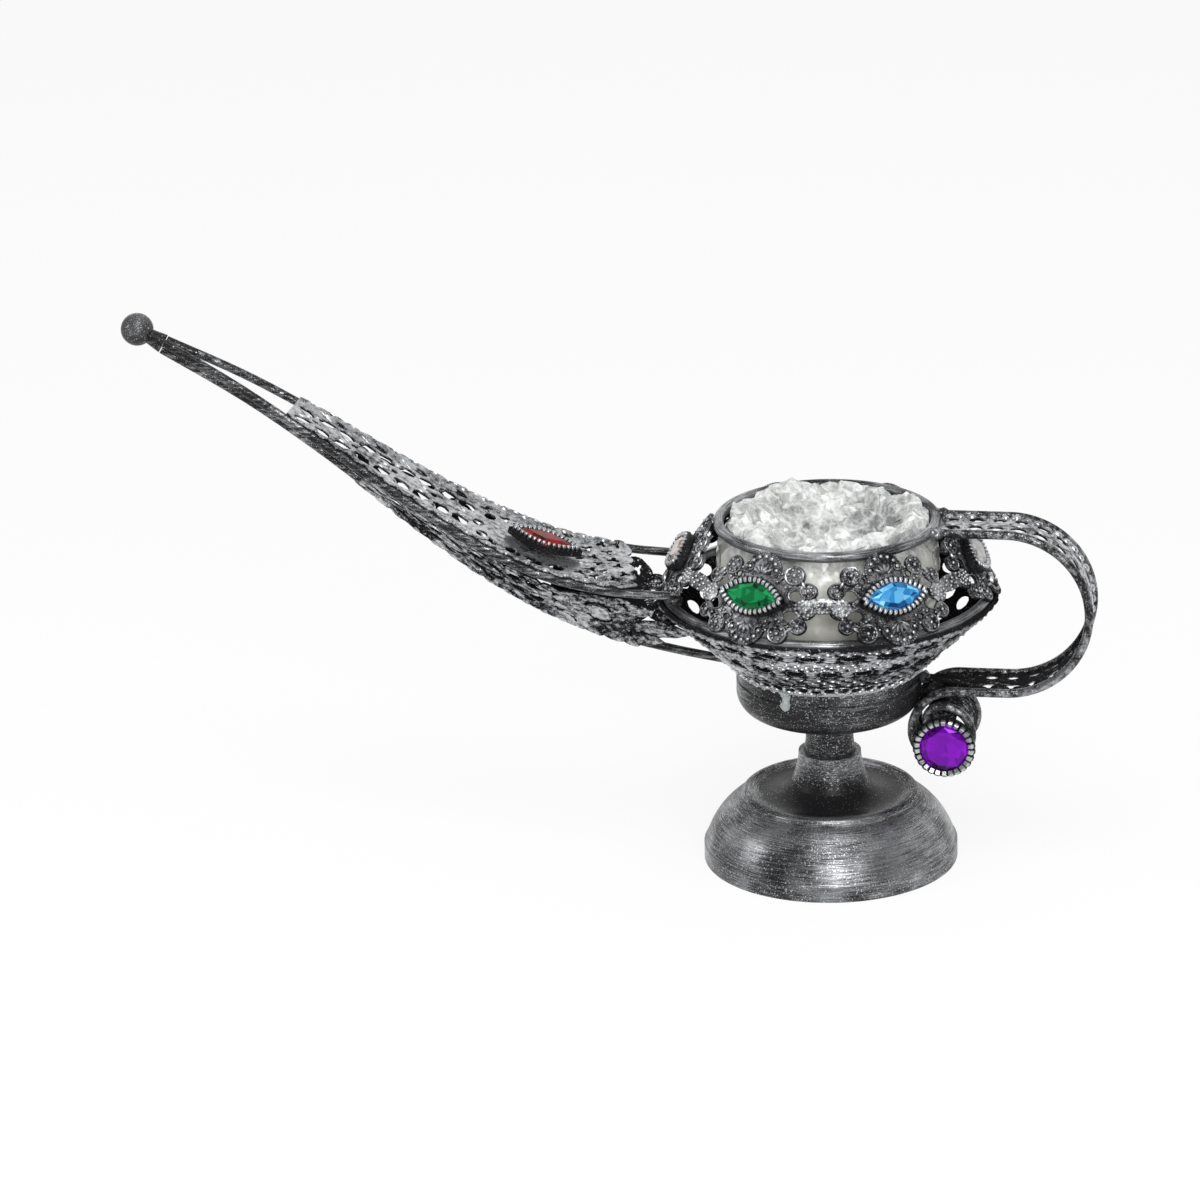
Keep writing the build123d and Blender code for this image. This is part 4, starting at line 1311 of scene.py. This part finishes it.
# %% Side sheets of the spout
MEDALLION = (21.5, 0.0)
SLACK = 1.6  # the upper edge hangs this far below the wire, and further beside the medallion
SIDE_START, SIDE_END = 12.0, 92.0
LEAF_BLADES = [  # leaves that reach from the sheet's end to the bowl
    ("blade", 5.0, -3.2, 8.4, 4.2, 0.45, 3), ("leaf", 5.0, -3.2, 6.0, 0.8, 0.7, 3),
    ("blade", 9.5, 4.6, 4.2, 2.4, 0.45, -24), ("blade", 9.0, -9.2, 4.6, 2.2, 0.45, 14),
]


def side_top(u):
    return side_half(u) - SLACK - 2.6 * math.exp(-(((u - 31) / 6.0) ** 2))


def side_bottom(u):
    return side_half(u) + OVER


holes = [
    curved_hole(*MEDALLION, (3.5, 4.7), (4.4, 6.0), 20, 160),
    curved_hole(*MEDALLION, (3.5, 4.7), (4.2, 5.8), 205, 335),
]
holes += [loop(*at, 0.95, 0.85, turn, False) for at, turn in spokes(*MEDALLION, 7.3, 9.0, 11, 8)]
relief = [("coin", *MEDALLION, 2.9, 4.0, 0.6, 0), ("eyelet", *MEDALLION, 8.6, 10.6, 0.55, 0)]
for at, turn in spokes(*MEDALLION, 6.0, 7.6, 11, 24):
    relief.append(("leaf", *at, 1.7, 0.95, 0.66, turn))
holes += [trefoil(33.4, v, 1.4, 2.0, 0.9) for v in (-6.6, -1.2, 3.6)]
holes += [trefoil(u, v, 1.1, 1.7, 2.2) for u in (14.0, 29.4) for v in (-8.6, 7.4)]
for v, turn in ((-3.2, 30), (2.2, -30), (-8.6, 20)):
    relief.append(("blade", 32.0, v, 2.2, 1.2, 0.65, turn))
for index in range(5):
    u = 42.0 + CELL * index
    low, high = 1.6 - side_bottom(u), side_top(u) - 1.6
    holes += chain_holes(u, (low + high) / 2, (high - low) / 2)
    relief += chain_relief(u, (low + high) / 2, (high - low) / 2)
for index in range(15):
    u = 13.0 + 5.0 * index
    relief.append(("bead", u, -side_half(u) - 0.1, 1.6, 1.1, 0.75, 0))
print("side sheet:", len(holes), "holes and", len(relief), "presses drawn")

# %% Side sheets cut and laid
upper_edge = lobed(SIDE_START, SIDE_END, side_top, 6.2, 1.8, 12)
lower_edge = flipped(lobed(SIDE_START, SIDE_END, side_bottom, 5.2, 1.4, 14))
outline = lower_edge + upper_edge[::-1] + root_edge(upper_edge[0], lower_edge[0], 4, 2.2)
relief = within(relief, min(upper_edge[-1][0], lower_edge[-1][0])) + LEAF_BLADES
front_sheet = veined("spout_front_sheet", outline, holes, relief, side_surface)
front_sheet.data.flip_normals()  # for the same reason
back_sheet = twin(front_sheet, "spout_back_sheet")
back_sheet.data.transform(Matrix.Scale(-1, 4, Vector((0, 1, 0))))
back_sheet.data.flip_normals()
for sheet, panel in ((front_sheet, "spout_front_panel"), (back_sheet, "spout_back_panel")):
    finished(sheet, shaded_side_sheet_paint)
    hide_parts(panel)
print("side sheets:", len(front_sheet.data.polygons), "faces each")

# %% Gem on the spout
GEM_HALF_H = 2.05  # from a setting's foot to the middle of its stone
gem_middle = middle("spout_gem")
level, upward = upright(on_line(upper_line, gem_middle.x)[1])
place = seat(gem_middle - upward * GEM_HALF_H, level, upward)
set_stone("spout_bezel", "spout_gem", navette_setting, navette_gem, place)
for made in (navette_setting, round_setting, navette_gem, round_gem):
    bpy.data.objects.remove(made)
print("spout gem stands at", [round(c, 1) for c in gem_middle])

# %% [markdown]
# The basket below the waist is a cone of pierced sheet. Close up it is rows of little overlapping
# scales with bright lower edges, rims round the larger holes and a lacy border of loops that
# hangs over the dish. At the front the scales lie close, and the far side, which is seen from
# inside, is more open. The rows are drawn by hand on the real one, so a seeded jitter keeps them
# from looking cut by machine.

# %% Basket surface
BASKET_FOOT_R = 25.25
MEAN_R = 34.0  # distances along the basket's rows are measured at this radius
dish_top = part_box("dish")[1].z / MM
basket_foot = Vector((BASKET_FOOT_R, dish_top))
basket_lean = Vector((waist_r, waist_z)) - basket_foot
ring_side = Vector((basket_lean.y, -basket_lean.x)).normalized()
basket_top = Vector((waist_r, waist_z)) + ring_side * (ring_wire + SEAT_GAP)
basket_up = (basket_top - basket_foot).normalized()
basket_face = Vector((basket_up.y, -basket_up.x))


def basket_surface(u, v, h):
    """The basket's cone: u runs round it and v up its side."""
    point = basket_foot + basket_up * v + basket_face * (SHEET_T + h)
    angle = u / MEAN_R
    return Vector((point.x * math.cos(angle), point.x * math.sin(angle), point.y))


def under_basket(u, v, h):
    """The same cone for the plain sheet, whose outer face carries the relief."""
    return basket_surface(u, v, h - SHEET_HALF_T)


print("basket side is", round((basket_top - basket_foot).length, 1), "mm long")

# %% Basket scales
SECTORS = 24
SECTOR = 2 * math.pi * MEAN_R / SECTORS
SCALE_ROWS = (  # height and count in a sector
    (7.4, 2), (9.0, 2), (10.5, 2), (17.0, 3), (18.3, 3), (19.5, 3), (20.6, 3), (27.2, 3), (28.3, 3),
)
EDGE_ROWS = (7.4, 28.3)  # the only rows of scales on the open side
HOLE_ROWS = (  # height, shift round the basket in sectors, half length and half height
    (24.0, 0.0, 2.8, 1.5), (13.8, 0.5, 2.4, 1.7), (4.4, 0.0, 1.9, 1.4),
)
OPEN_ROWS = (
    (24.4, 0.0, 3.9, 2.4), (17.6, 0.5, 3.9, 2.6), (10.6, 0.0, 2.6, 1.9), (4.4, 0.0, 1.9, 1.4),
)
OPEN_FROM, OPEN_TO = -20.0, 200.0  # bearings of the open side, in degrees
hand = random.Random(11)


def sector_scales(index, is_open):
    """The overlapping scales of one sector, each with a bright lip."""
    pattern = []
    for row, (v, count) in enumerate(SCALE_ROWS):
        for step in range(count):
            u = SECTOR * (index + (step + 0.5 * (row % 2)) / count) + hand.uniform(-0.5, 0.5)
            at = (u, v + hand.uniform(-0.35, 0.35))
            half_u = SECTOR / count * hand.uniform(0.58, 0.74)
            tilt = hand.uniform(-16, 10)
            scale = ("leaf", *at, half_u, hand.uniform(0.95, 1.25), hand.uniform(0.45, 0.7), tilt)
            lip = ("leaf", at[0] + 0.3 * half_u, at[1] - 0.55, 0.5 * half_u, 0.4, 0.8, tilt)
            if v in EDGE_ROWS or not is_open:
                pattern += [scale, lip]
    return pattern


def sector_holes(index, is_open):
    """The holes of one sector, and the rims and leaves round them."""
    cut, pattern = [], []
    for v, shift, half_l, half_h in OPEN_ROWS if is_open else HOLE_ROWS:
        stretch = MEAN_R / (basket_foot.x + basket_up.x * v)
        u = SECTOR * (index + shift)
        cut.append(loop(u, v, half_l * stretch, half_h, hand.uniform(-8, 8), pointed=False))
        rim = 0.3 if is_open else 0.55
        pattern.append(("eyelet", u, v, (half_l + 0.4) * stretch, half_h + 0.35, rim, 0))
        for side_v in (-1.2, 0.0, 1.2) if v > 6 else ():
            at = (u + SECTOR / 2 + hand.uniform(-0.4, 0.4), v + side_v)
            half_u = (0.12 if is_open else 0.20) * SECTOR
            pattern.append(("leaf", *at, half_u, 0.9, 0.65, hand.uniform(-20, 20)))
        for s in () if is_open else (-1, 1):
            pattern.append(("leaf", u + 0.38 * s * SECTOR, v + 2.0, 1.3, 0.6, 0.6, 25 * s))
    return cut, pattern


scales, holes = [], []
for index in range(SECTORS):
    is_open = (360 / SECTORS * index - OPEN_FROM) % 360 < OPEN_TO - OPEN_FROM
    scales += sector_scales(index, is_open)
    cut, pattern = sector_holes(index, is_open)
    holes += cut
    scales += pattern
print("basket:", len(holes), "holes and", len(scales), "scales drawn")

# %% Basket sheet and border
BASKET_ROWS = (0.5, 29.0)  # lower and upper edge of the sheet
basket_scales = pressed("basket_scales", scales)
lay(basket_scales, basket_surface)
finished(basket_scales, basket_paint)
seam_from, seam_to = -SECTOR / 2, SECTOR * (SECTORS - 0.5)
low, high = BASKET_ROWS
outline = [(seam_from, low), (seam_to, low), (seam_to, high), (seam_from, high)]
basket_sheet = pierced("basket_sheet", outline, holes)
lay(basket_sheet, under_basket)
finished(basket_sheet, dark_sheet_paint)
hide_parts("basket")

border = []
for index in range(2 * SECTORS):
    u = SECTOR * index / 2
    for at_u, v, jitter, half_u, half_v, height, turn in (
        (u, 2.3, 0.4, 3.3, 2.5, 0.9, 12), (u + SECTOR / 4, -0.4, 0.4, 3.0, 2.4, 1.2, 14),
    ):
        at = (at_u, v + hand.uniform(-jitter, jitter))
        border.append(("hoop", *at, half_u, half_v, height, hand.uniform(-turn, turn)))
    border.append(("bead", u + SECTOR / 4, 2.4, 0.8, 0.7, 1.0, 0))
basket_border = pressed("basket_border", border)
lay(basket_border, basket_surface)
finished(basket_border, relief_paint)
print("basket scales and border:", [len(p.data.polygons) for p in (basket_scales, basket_border)])

# %% [markdown]
# The handle's band is the same kind of openwork, rolled round the loop between its two wires,
# with the domes of its edges standing outwards.

# %% Handle band
BAND_HALF = 6.6
BAND_SINK = 0.5  # the openwork starts this far inside the band's outer face
BAND_CELL = 6.2
low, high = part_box("handle_band")
loop_r = (high.z - low.z) / 2 / MM
loop_z = (high.z + low.z) / 2 / MM
loop_x = high.x / MM - loop_r
band_points = [vertex.co / MM for vertex in nodes["handle_band"].data.vertices]
top_start = min(point.x for point in band_points if point.z > loop_z)
low_end = min(point.x for point in band_points if point.z < loop_z)
top_run = loop_x - top_start
band_run = top_run + math.pi * loop_r + loop_x - low_end


def band_surface(u, v, h):
    """The band from the top ring along its top run, round the loop and back below."""
    reach = loop_r + h - BAND_SINK
    if u <= top_run:
        return Vector((top_start + u, v, loop_z + reach))
    angle = math.pi / 2 - (u - top_run) / loop_r
    if angle < -math.pi / 2:
        return Vector((loop_x + (angle + math.pi / 2) * loop_r, v, loop_z - reach))
    return Vector((loop_x + reach * math.cos(angle), v, loop_z + reach * math.sin(angle)))


def band_half(u):
    return BAND_HALF


band_cells = round(band_run / BAND_CELL)
holes, relief = [], []
for index in range(band_cells):
    u = band_run * (index + 0.5) / band_cells
    for s in (-1, 1):
        at = (u + snip.uniform(-0.4, 0.4), 3.2 * s)
        half_v = snip.uniform(1.9, 2.3) if s < 0 else snip.uniform(1.2, 1.6)
        half_u = snip.uniform(1.8, 2.3)
        holes.append(loop(*at, half_u, half_v, snip.uniform(-15, 15), pointed=False))
        relief.append(("bead", u - 1.6, 5.6 * s, 1.5, 1.2, snip.uniform(0.9, 1.3), 0))
        relief.append(("bead", u + 1.5, 5.6 * s, 1.3, 1.1, snip.uniform(0.7, 1.1), 0))
        relief.append(("leaf", u + BAND_CELL / 2, 3.2 * s, 2.0, 0.6, 0.65, 90))
    relief.append(("blade", u, 0, 2.7, 1.2, snip.uniform(0.5, 0.7), snip.uniform(-12, 12)))
front_edge = flipped(lobed(0.2, band_run, band_half, 3.4, 0.7, 21))
back_edge = lobed(0.2, band_run, band_half, 3.4, 0.7, 22)
outline = front_edge + back_edge[::-1]
band_openwork = veined("handle_openwork", outline, holes, within(relief, band_run), band_surface)
finished(band_openwork, sheet_paint)
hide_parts("handle_band")
print("handle band:", round(band_run, 1), "mm,", len(band_openwork.data.polygons), "faces")

# %% [markdown]
# Where the handle's lower run meets the dish, a short strap carries it: a leaf of sheet that is
# narrow at the dish and widens under the band. A grid is pulled to that outline, its long edges
# are turned up a little, and Solidify gives it its thickness.

# %% Handle strap
STRAP_WIDTHS = ((0.0, 2.2), (0.25, 1.7), (0.5, 2.9), (0.8, 4.6), (1.0, 4.9))  # share, half width
STRAP_T = 0.8
STRAP_INSET = (0.4, 0.3)  # from the plain strap's end and underside
tab_low, tab_high = (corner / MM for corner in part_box("handle_tab"))


def strap_half(share):
    for (start, low), (stop, high) in zip(STRAP_WIDTHS, STRAP_WIDTHS[1:]):
        if share <= stop:
            return low + (high - low) * (share - start) / (stop - start)
    return STRAP_WIDTHS[-1][1]


clear_selection()
bpy.ops.mesh.primitive_grid_add(x_subdivisions=14, y_subdivisions=8, size=1)
strap = bpy.context.object
strap.name = "handle_strap"
strap_start = tab_low.x + STRAP_INSET[0]
for vertex in strap.data.vertices:
    share = vertex.co.x + 0.5
    across = 2 * vertex.co.y
    rise = 0.45 * across * across + 0.5 * (1 - share) ** 2
    vertex.co = Vector((
        strap_start + share * (tab_high.x - strap_start),
        across * strap_half(share),
        tab_low.z + STRAP_INSET[1] + rise,
    ))
thicken = strap.modifiers.new("thickness", "SOLIDIFY")
thicken.thickness = STRAP_T
soften = strap.modifiers.new("rounding", "SUBSURF")
soften.levels = soften.render_levels = 1
for modifier in ("thickness", "rounding"):
    bpy.ops.object.modifier_apply(modifier=modifier)
strap.data.transform(Matrix.Scale(MM, 4))
finished(strap, scroll_paint, angle=50)
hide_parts("handle_tab")
print("strap:", len(strap.data.polygons), "faces")

# %% [markdown]
# The bowl is stuffed with a wad of thin clear film. Crumpled film is flat facets at every size,
# so it is made by crumpling: a coarse ball is drawn to the shape of the wad, its corners are
# thrown about, and it is divided and thrown about again, each time by less. Below the ring the
# film bulges a little wider than the mouth, as soft film does.

# %% Film wad
FILM_PROFILE = (  # radius and height, from the middle of its foot to the middle of its top
    (0.0, 47.6), (19.0, 47.8), (23.0, 50.5), (23.2, 58.0), (28.0, 67.0), (30.2, 75.0),
    (30.4, 88.0), (29.0, 93.6), (27.5, 96.2), (27.4, 98.6), (26.2, 100.2), (23.5, 100.4),
    (19.5, 97.2), (14.0, 92.8), (8.0, 89.8), (0.0, 88.8),
)
POCKET = (15, 10)  # where the top is pressed in
POCKET_DEPTH = 5.0
POCKET_SPREAD = 45


def along_profile(share):
    """A point of the wad's profile by its share of the profile's length."""
    points = [Vector(point) for point in FILM_PROFILE]
    lengths = [(after - before).length for before, after in zip(points, points[1:])]
    goal = share * sum(lengths)
    for before, after, length in zip(points, points[1:], lengths):
        if goal <= length:
            return before.lerp(after, goal / length)
        goal -= length
    return points[-1]


clear_selection()
bpy.ops.mesh.primitive_ico_sphere_add(subdivisions=4, radius=1)
film = bpy.context.object
film.name = "film_wad"
for vertex in film.data.vertices:
    polar = math.acos(max(-1.0, min(1.0, -vertex.co.z))) / math.pi
    bearing = math.atan2(vertex.co.y, vertex.co.x)
    radius, height = along_profile(polar)
    x, y = radius * math.cos(bearing), radius * math.sin(bearing)
    if polar > 0.75:
        apart = (x - POCKET[0]) ** 2 + (y - POCKET[1]) ** 2
        height -= POCKET_DEPTH * math.exp(-apart / POCKET_SPREAD)
    fold = 1 + 0.012 * math.sin(23 * bearing) + 0.010 * math.sin(37 * bearing + 1)
    vertex.co = Vector((fold * x, fold * y, height))
print("film starts with", len(film.data.vertices), "corners")

# %% Crumpling
MOUTH_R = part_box("crumpled_film")[1].x / MM
MOUTH_FROM = 94  # above this height the film stays within the mouth
BULGE_R = 31.0
LOOSE_FROM = 90.0  # above this height the film is free to crumple
CRUMPLES = (3.6, 1.9, 0.9)  # how far each round throws the corners


def crumple(amount, seed):
    """Throws the corners of the wad's top about, and those of its side by less."""
    for vertex in film.data.vertices:
        free = vertex.co.xy.length < 24.0 and vertex.co.z > 70.0
        loose = 1.0 if free else min(max((vertex.co.z - LOOSE_FROM) / 6.0, 0.16), 1.0)
        throw = noise.noise_vector(vertex.co * 7.31 + Vector((seed, 2 * seed, 3 * seed)))
        vertex.co += throw * amount * loose


noise.seed_set(5)  # without it the noise starts from the clock
for seed, amount in enumerate(CRUMPLES, start=1):
    if seed > 1:
        edit_all()
        bpy.ops.mesh.subdivide(number_cuts=1, smoothness=0)
        bpy.ops.object.mode_set(mode="OBJECT")
    crumple(amount, seed)
for vertex in film.data.vertices:
    limit = MOUTH_R if vertex.co.z > MOUTH_FROM else BULGE_R
    radius = vertex.co.xy.length
    if radius > limit:
        vertex.co.xy *= limit / radius
film.data.transform(Matrix.Scale(MM, 4))
print("film:", len(film.data.polygons), "faces")

# %% Film material
FILM_WHITE, FILM_GREY, FILM_DARK = (0.76, 0.77, 0.76), (0.47, 0.48, 0.47), (0.20, 0.21, 0.21)
FILM_SIDE = (0.74, 0.735, 0.68, 1)
# Painted shade: the film is painted greyer round this place, in the pocket pressed into its top.
POCKET_SHADE = (0.015, 0.011, 0.093)  # the film round this place is greyer


def film_material():
    """Thin clear film in many layers: white and grey in a noise, painted shade round the
    pressed-in pocket, and painted highlights along the folds, which also bump its surface.
    """
    material, tree, shader = new_material("clear_film")
    place = object_place(tree)
    film_tone_shade_highlight = noise_field(tree, place, 130.0, detail=6.0, rough=0.7)
    shade = vector_measure(tree, "DISTANCE", place, POCKET_SHADE)
    film_tone_shade_highlight = maths(tree, "ADD", film_tone_shade_highlight, ranged(tree, shade, 0.004, 0.012, -0.22, 0.0))
    # Painted highlight: thin bright lines along the folds, darker between them.
    for scale, weight in ((230.0, 0.09), (620.0, 0.05)):
        fold = tree.nodes.new("ShaderNodeTexVoronoi")
        fold.feature = "DISTANCE_TO_EDGE"
        fold.inputs["Scale"].default_value = scale
        feed(tree, fold.inputs["Vector"], place)
        crease_highlight = ranged(tree, fold.outputs["Distance"], 0.0, 0.16, weight, -0.4 * weight)
        film_tone_shade_highlight = maths(tree, "ADD", film_tone_shade_highlight, crease_highlight)
    top = tone_ramp(tree, film_tone_shade_highlight, (0.30, FILM_DARK), (0.64, FILM_WHITE), (0.46, FILM_GREY))
    axes, radius = from_axis(tree)
    below = ranged(tree, axes["Z"], 0.089, 0.096, 1.0, 0.0)
    side = maths(tree, "MULTIPLY", below, ranged(tree, radius, 0.022, 0.026, 0.0, 1.0))
    feed(tree, shader.inputs["Base Color"], mixed(tree, side, top, FILM_SIDE, "RGBA"))
    set_sockets(shader, {
        "Roughness": 0.14, "Subsurface Weight": 0.25, "Subsurface Radius": (1.0, 1.0, 0.9),
        "Subsurface Scale": 8 * MM, "Coat Weight": 0.5, "Coat Roughness": 0.08,
    })
    roughen(tree, shader, film_tone_shade_highlight, 0.5, 0.4 * MM)
    return material


finished(film, film_material(), body="film", angle=25)
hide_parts("crumpled_film")
print("film finished")

# %% [markdown]
# Solder shows at the wire joints as soft grey lumps, and hot glue has run out below the basket in
# one drip. Both are balls that were pulled about: a ball is scaled, thrown out of round and
# smoothed.

# %% Solder lumps


def lump(place, size, seed):
    """A ball of solder, in millimetres, thrown out of round."""
    clear_selection()
    bpy.ops.mesh.primitive_ico_sphere_add(subdivisions=3, radius=1)
    ball = bpy.context.object
    for vertex in ball.data.vertices:
        bulge = 1 + 0.28 * noise.noise(vertex.co * 1.7 + Vector((seed, 0, seed)))
        vertex.co = Vector(place) + Vector(c * s * bulge for c, s in zip(vertex.co, size))
    return ball


low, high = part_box("handle_wire_back")
handle_y = (low.y + high.y) / 2 / MM
spout_y = -upper_line[0].y
lumps = []
for s in (-1, 1):
    lumps.append(lump((top_r + 0.8, s * handle_y, top_z), (2.6, 2.1, 1.8), 3 + s))
    lumps.append(lump((spout_root + 0.4, s * spout_y, waist_z + 1.4), (2.2, 2.2, 1.9), 6 + s))
lumps.append(lump((top_r + 1.6, 0.0, top_z - 0.6), (2.0, 6.5, 1.3), 9))
lumps.append(lump((26.3, 0.0, 53.2), (1.6, 2.4, 1.7), 12))
solder = joined("solder_lumps", *lumps)
solder.data.transform(Matrix.Scale(MM, 4))
finished(solder, wire_paint, angle=60)
print("solder lumps:", len(lumps))

# %% Glue
DRIP_AT = math.radians(-110)
DRIP = (  # distance from the dish's lip, height, half width and half height of each drop
    (0.9, 57.0, 2.0, 0.9), (0.7, 56.0, 1.35, 1.1), (0.6, 55.0, 1.05, 1.1), (0.6, 54.0, 1.1, 1.1),
    (0.8, 53.0, 1.45, 1.3), (0.8, 52.4, 1.2, 1.0),
)
LIP_R = 25.0
SEAM_Z = dish_top - 0.9
drops = []
for seed, (out, height, half_w, half_h) in enumerate(DRIP, start=20):
    reach = LIP_R + out
    place = (reach * math.cos(DRIP_AT), reach * math.sin(DRIP_AT), height)
    depth = 0.9 if height > 56.5 else 0.7
    drops.append(lump(place, (half_w, depth * half_w, half_h), seed))
drip = joined("glue_drip", *drops)
drip.data.remesh_voxel_size = 0.2
bpy.ops.object.voxel_remesh()
clear_selection()
bpy.ops.mesh.primitive_torus_add(
    major_segments=96, minor_segments=8, major_radius=LIP_R + 0.6, minor_radius=0.5
)
seam = bpy.context.object
for vertex in seam.data.vertices:
    vertex.co.xy *= 1 + 0.012 * noise.noise(vertex.co * 0.4)
    vertex.co.z += SEAM_Z
glue_run = joined("glue_run", drip, seam)
glue_run.data.transform(Matrix.Scale(MM, 4))
print("glue:", len(glue_run.data.polygons), "faces")

# %% [markdown]
# What is left of the frame only needs its finish: shells brushed round their axis, wires brushed
# along their length, dark sheet behind the relief, plain steel inside, and a smear of glue.

# %% Finish of the frame's own pieces


def plain_material(name, colour, metallic, rough, scale):
    """A simple finish with a little mottling."""
    material, tree, shader = new_material(name)
    mottle = noise_field(tree, object_place(tree), scale)
    shade = tone_ramp(tree, mottle, (0.3, [0.75 * c for c in colour]), (0.7, colour))
    feed(tree, shader.inputs["Base Color"], shade)
    set_sockets(shader, {"Metallic": metallic, "Roughness": rough})
    return material


steel = plain_material("plain_steel", (0.45, 0.45, 0.44), 1.0, 0.35, 900.0)
glue = plain_material("dried_glue", (0.36, 0.39, 0.38), 0.0, 0.35, 700.0)
FINISHES = {
    "pedestal_base": spun_paint,
    "dish": dark_spun_paint,
    "neck_spacer": dark_spun_paint,
    "spout_tip_ball": dark_spun_paint,
    "top_ring": ring_paint,
    "waist_ring": ring_paint,
    "centre_screw": steel,
    "screw_washer": steel,
    "screw_nut": steel,
    "handle_wire_front": wire_paint,
    "handle_wire_back": wire_paint,
    "scroll_band": scroll_paint,
    **{f"belt_link_{number}": plate_paint for number in LINKS},
}
for name, node in nodes.items():
    node.data.materials.clear()
    node.data.materials.append(FINISHES.get(name, spout_paint))
finished(glue_run, glue, angle=60)
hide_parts("glue_bead")
print("finished", len(nodes), "frame pieces")
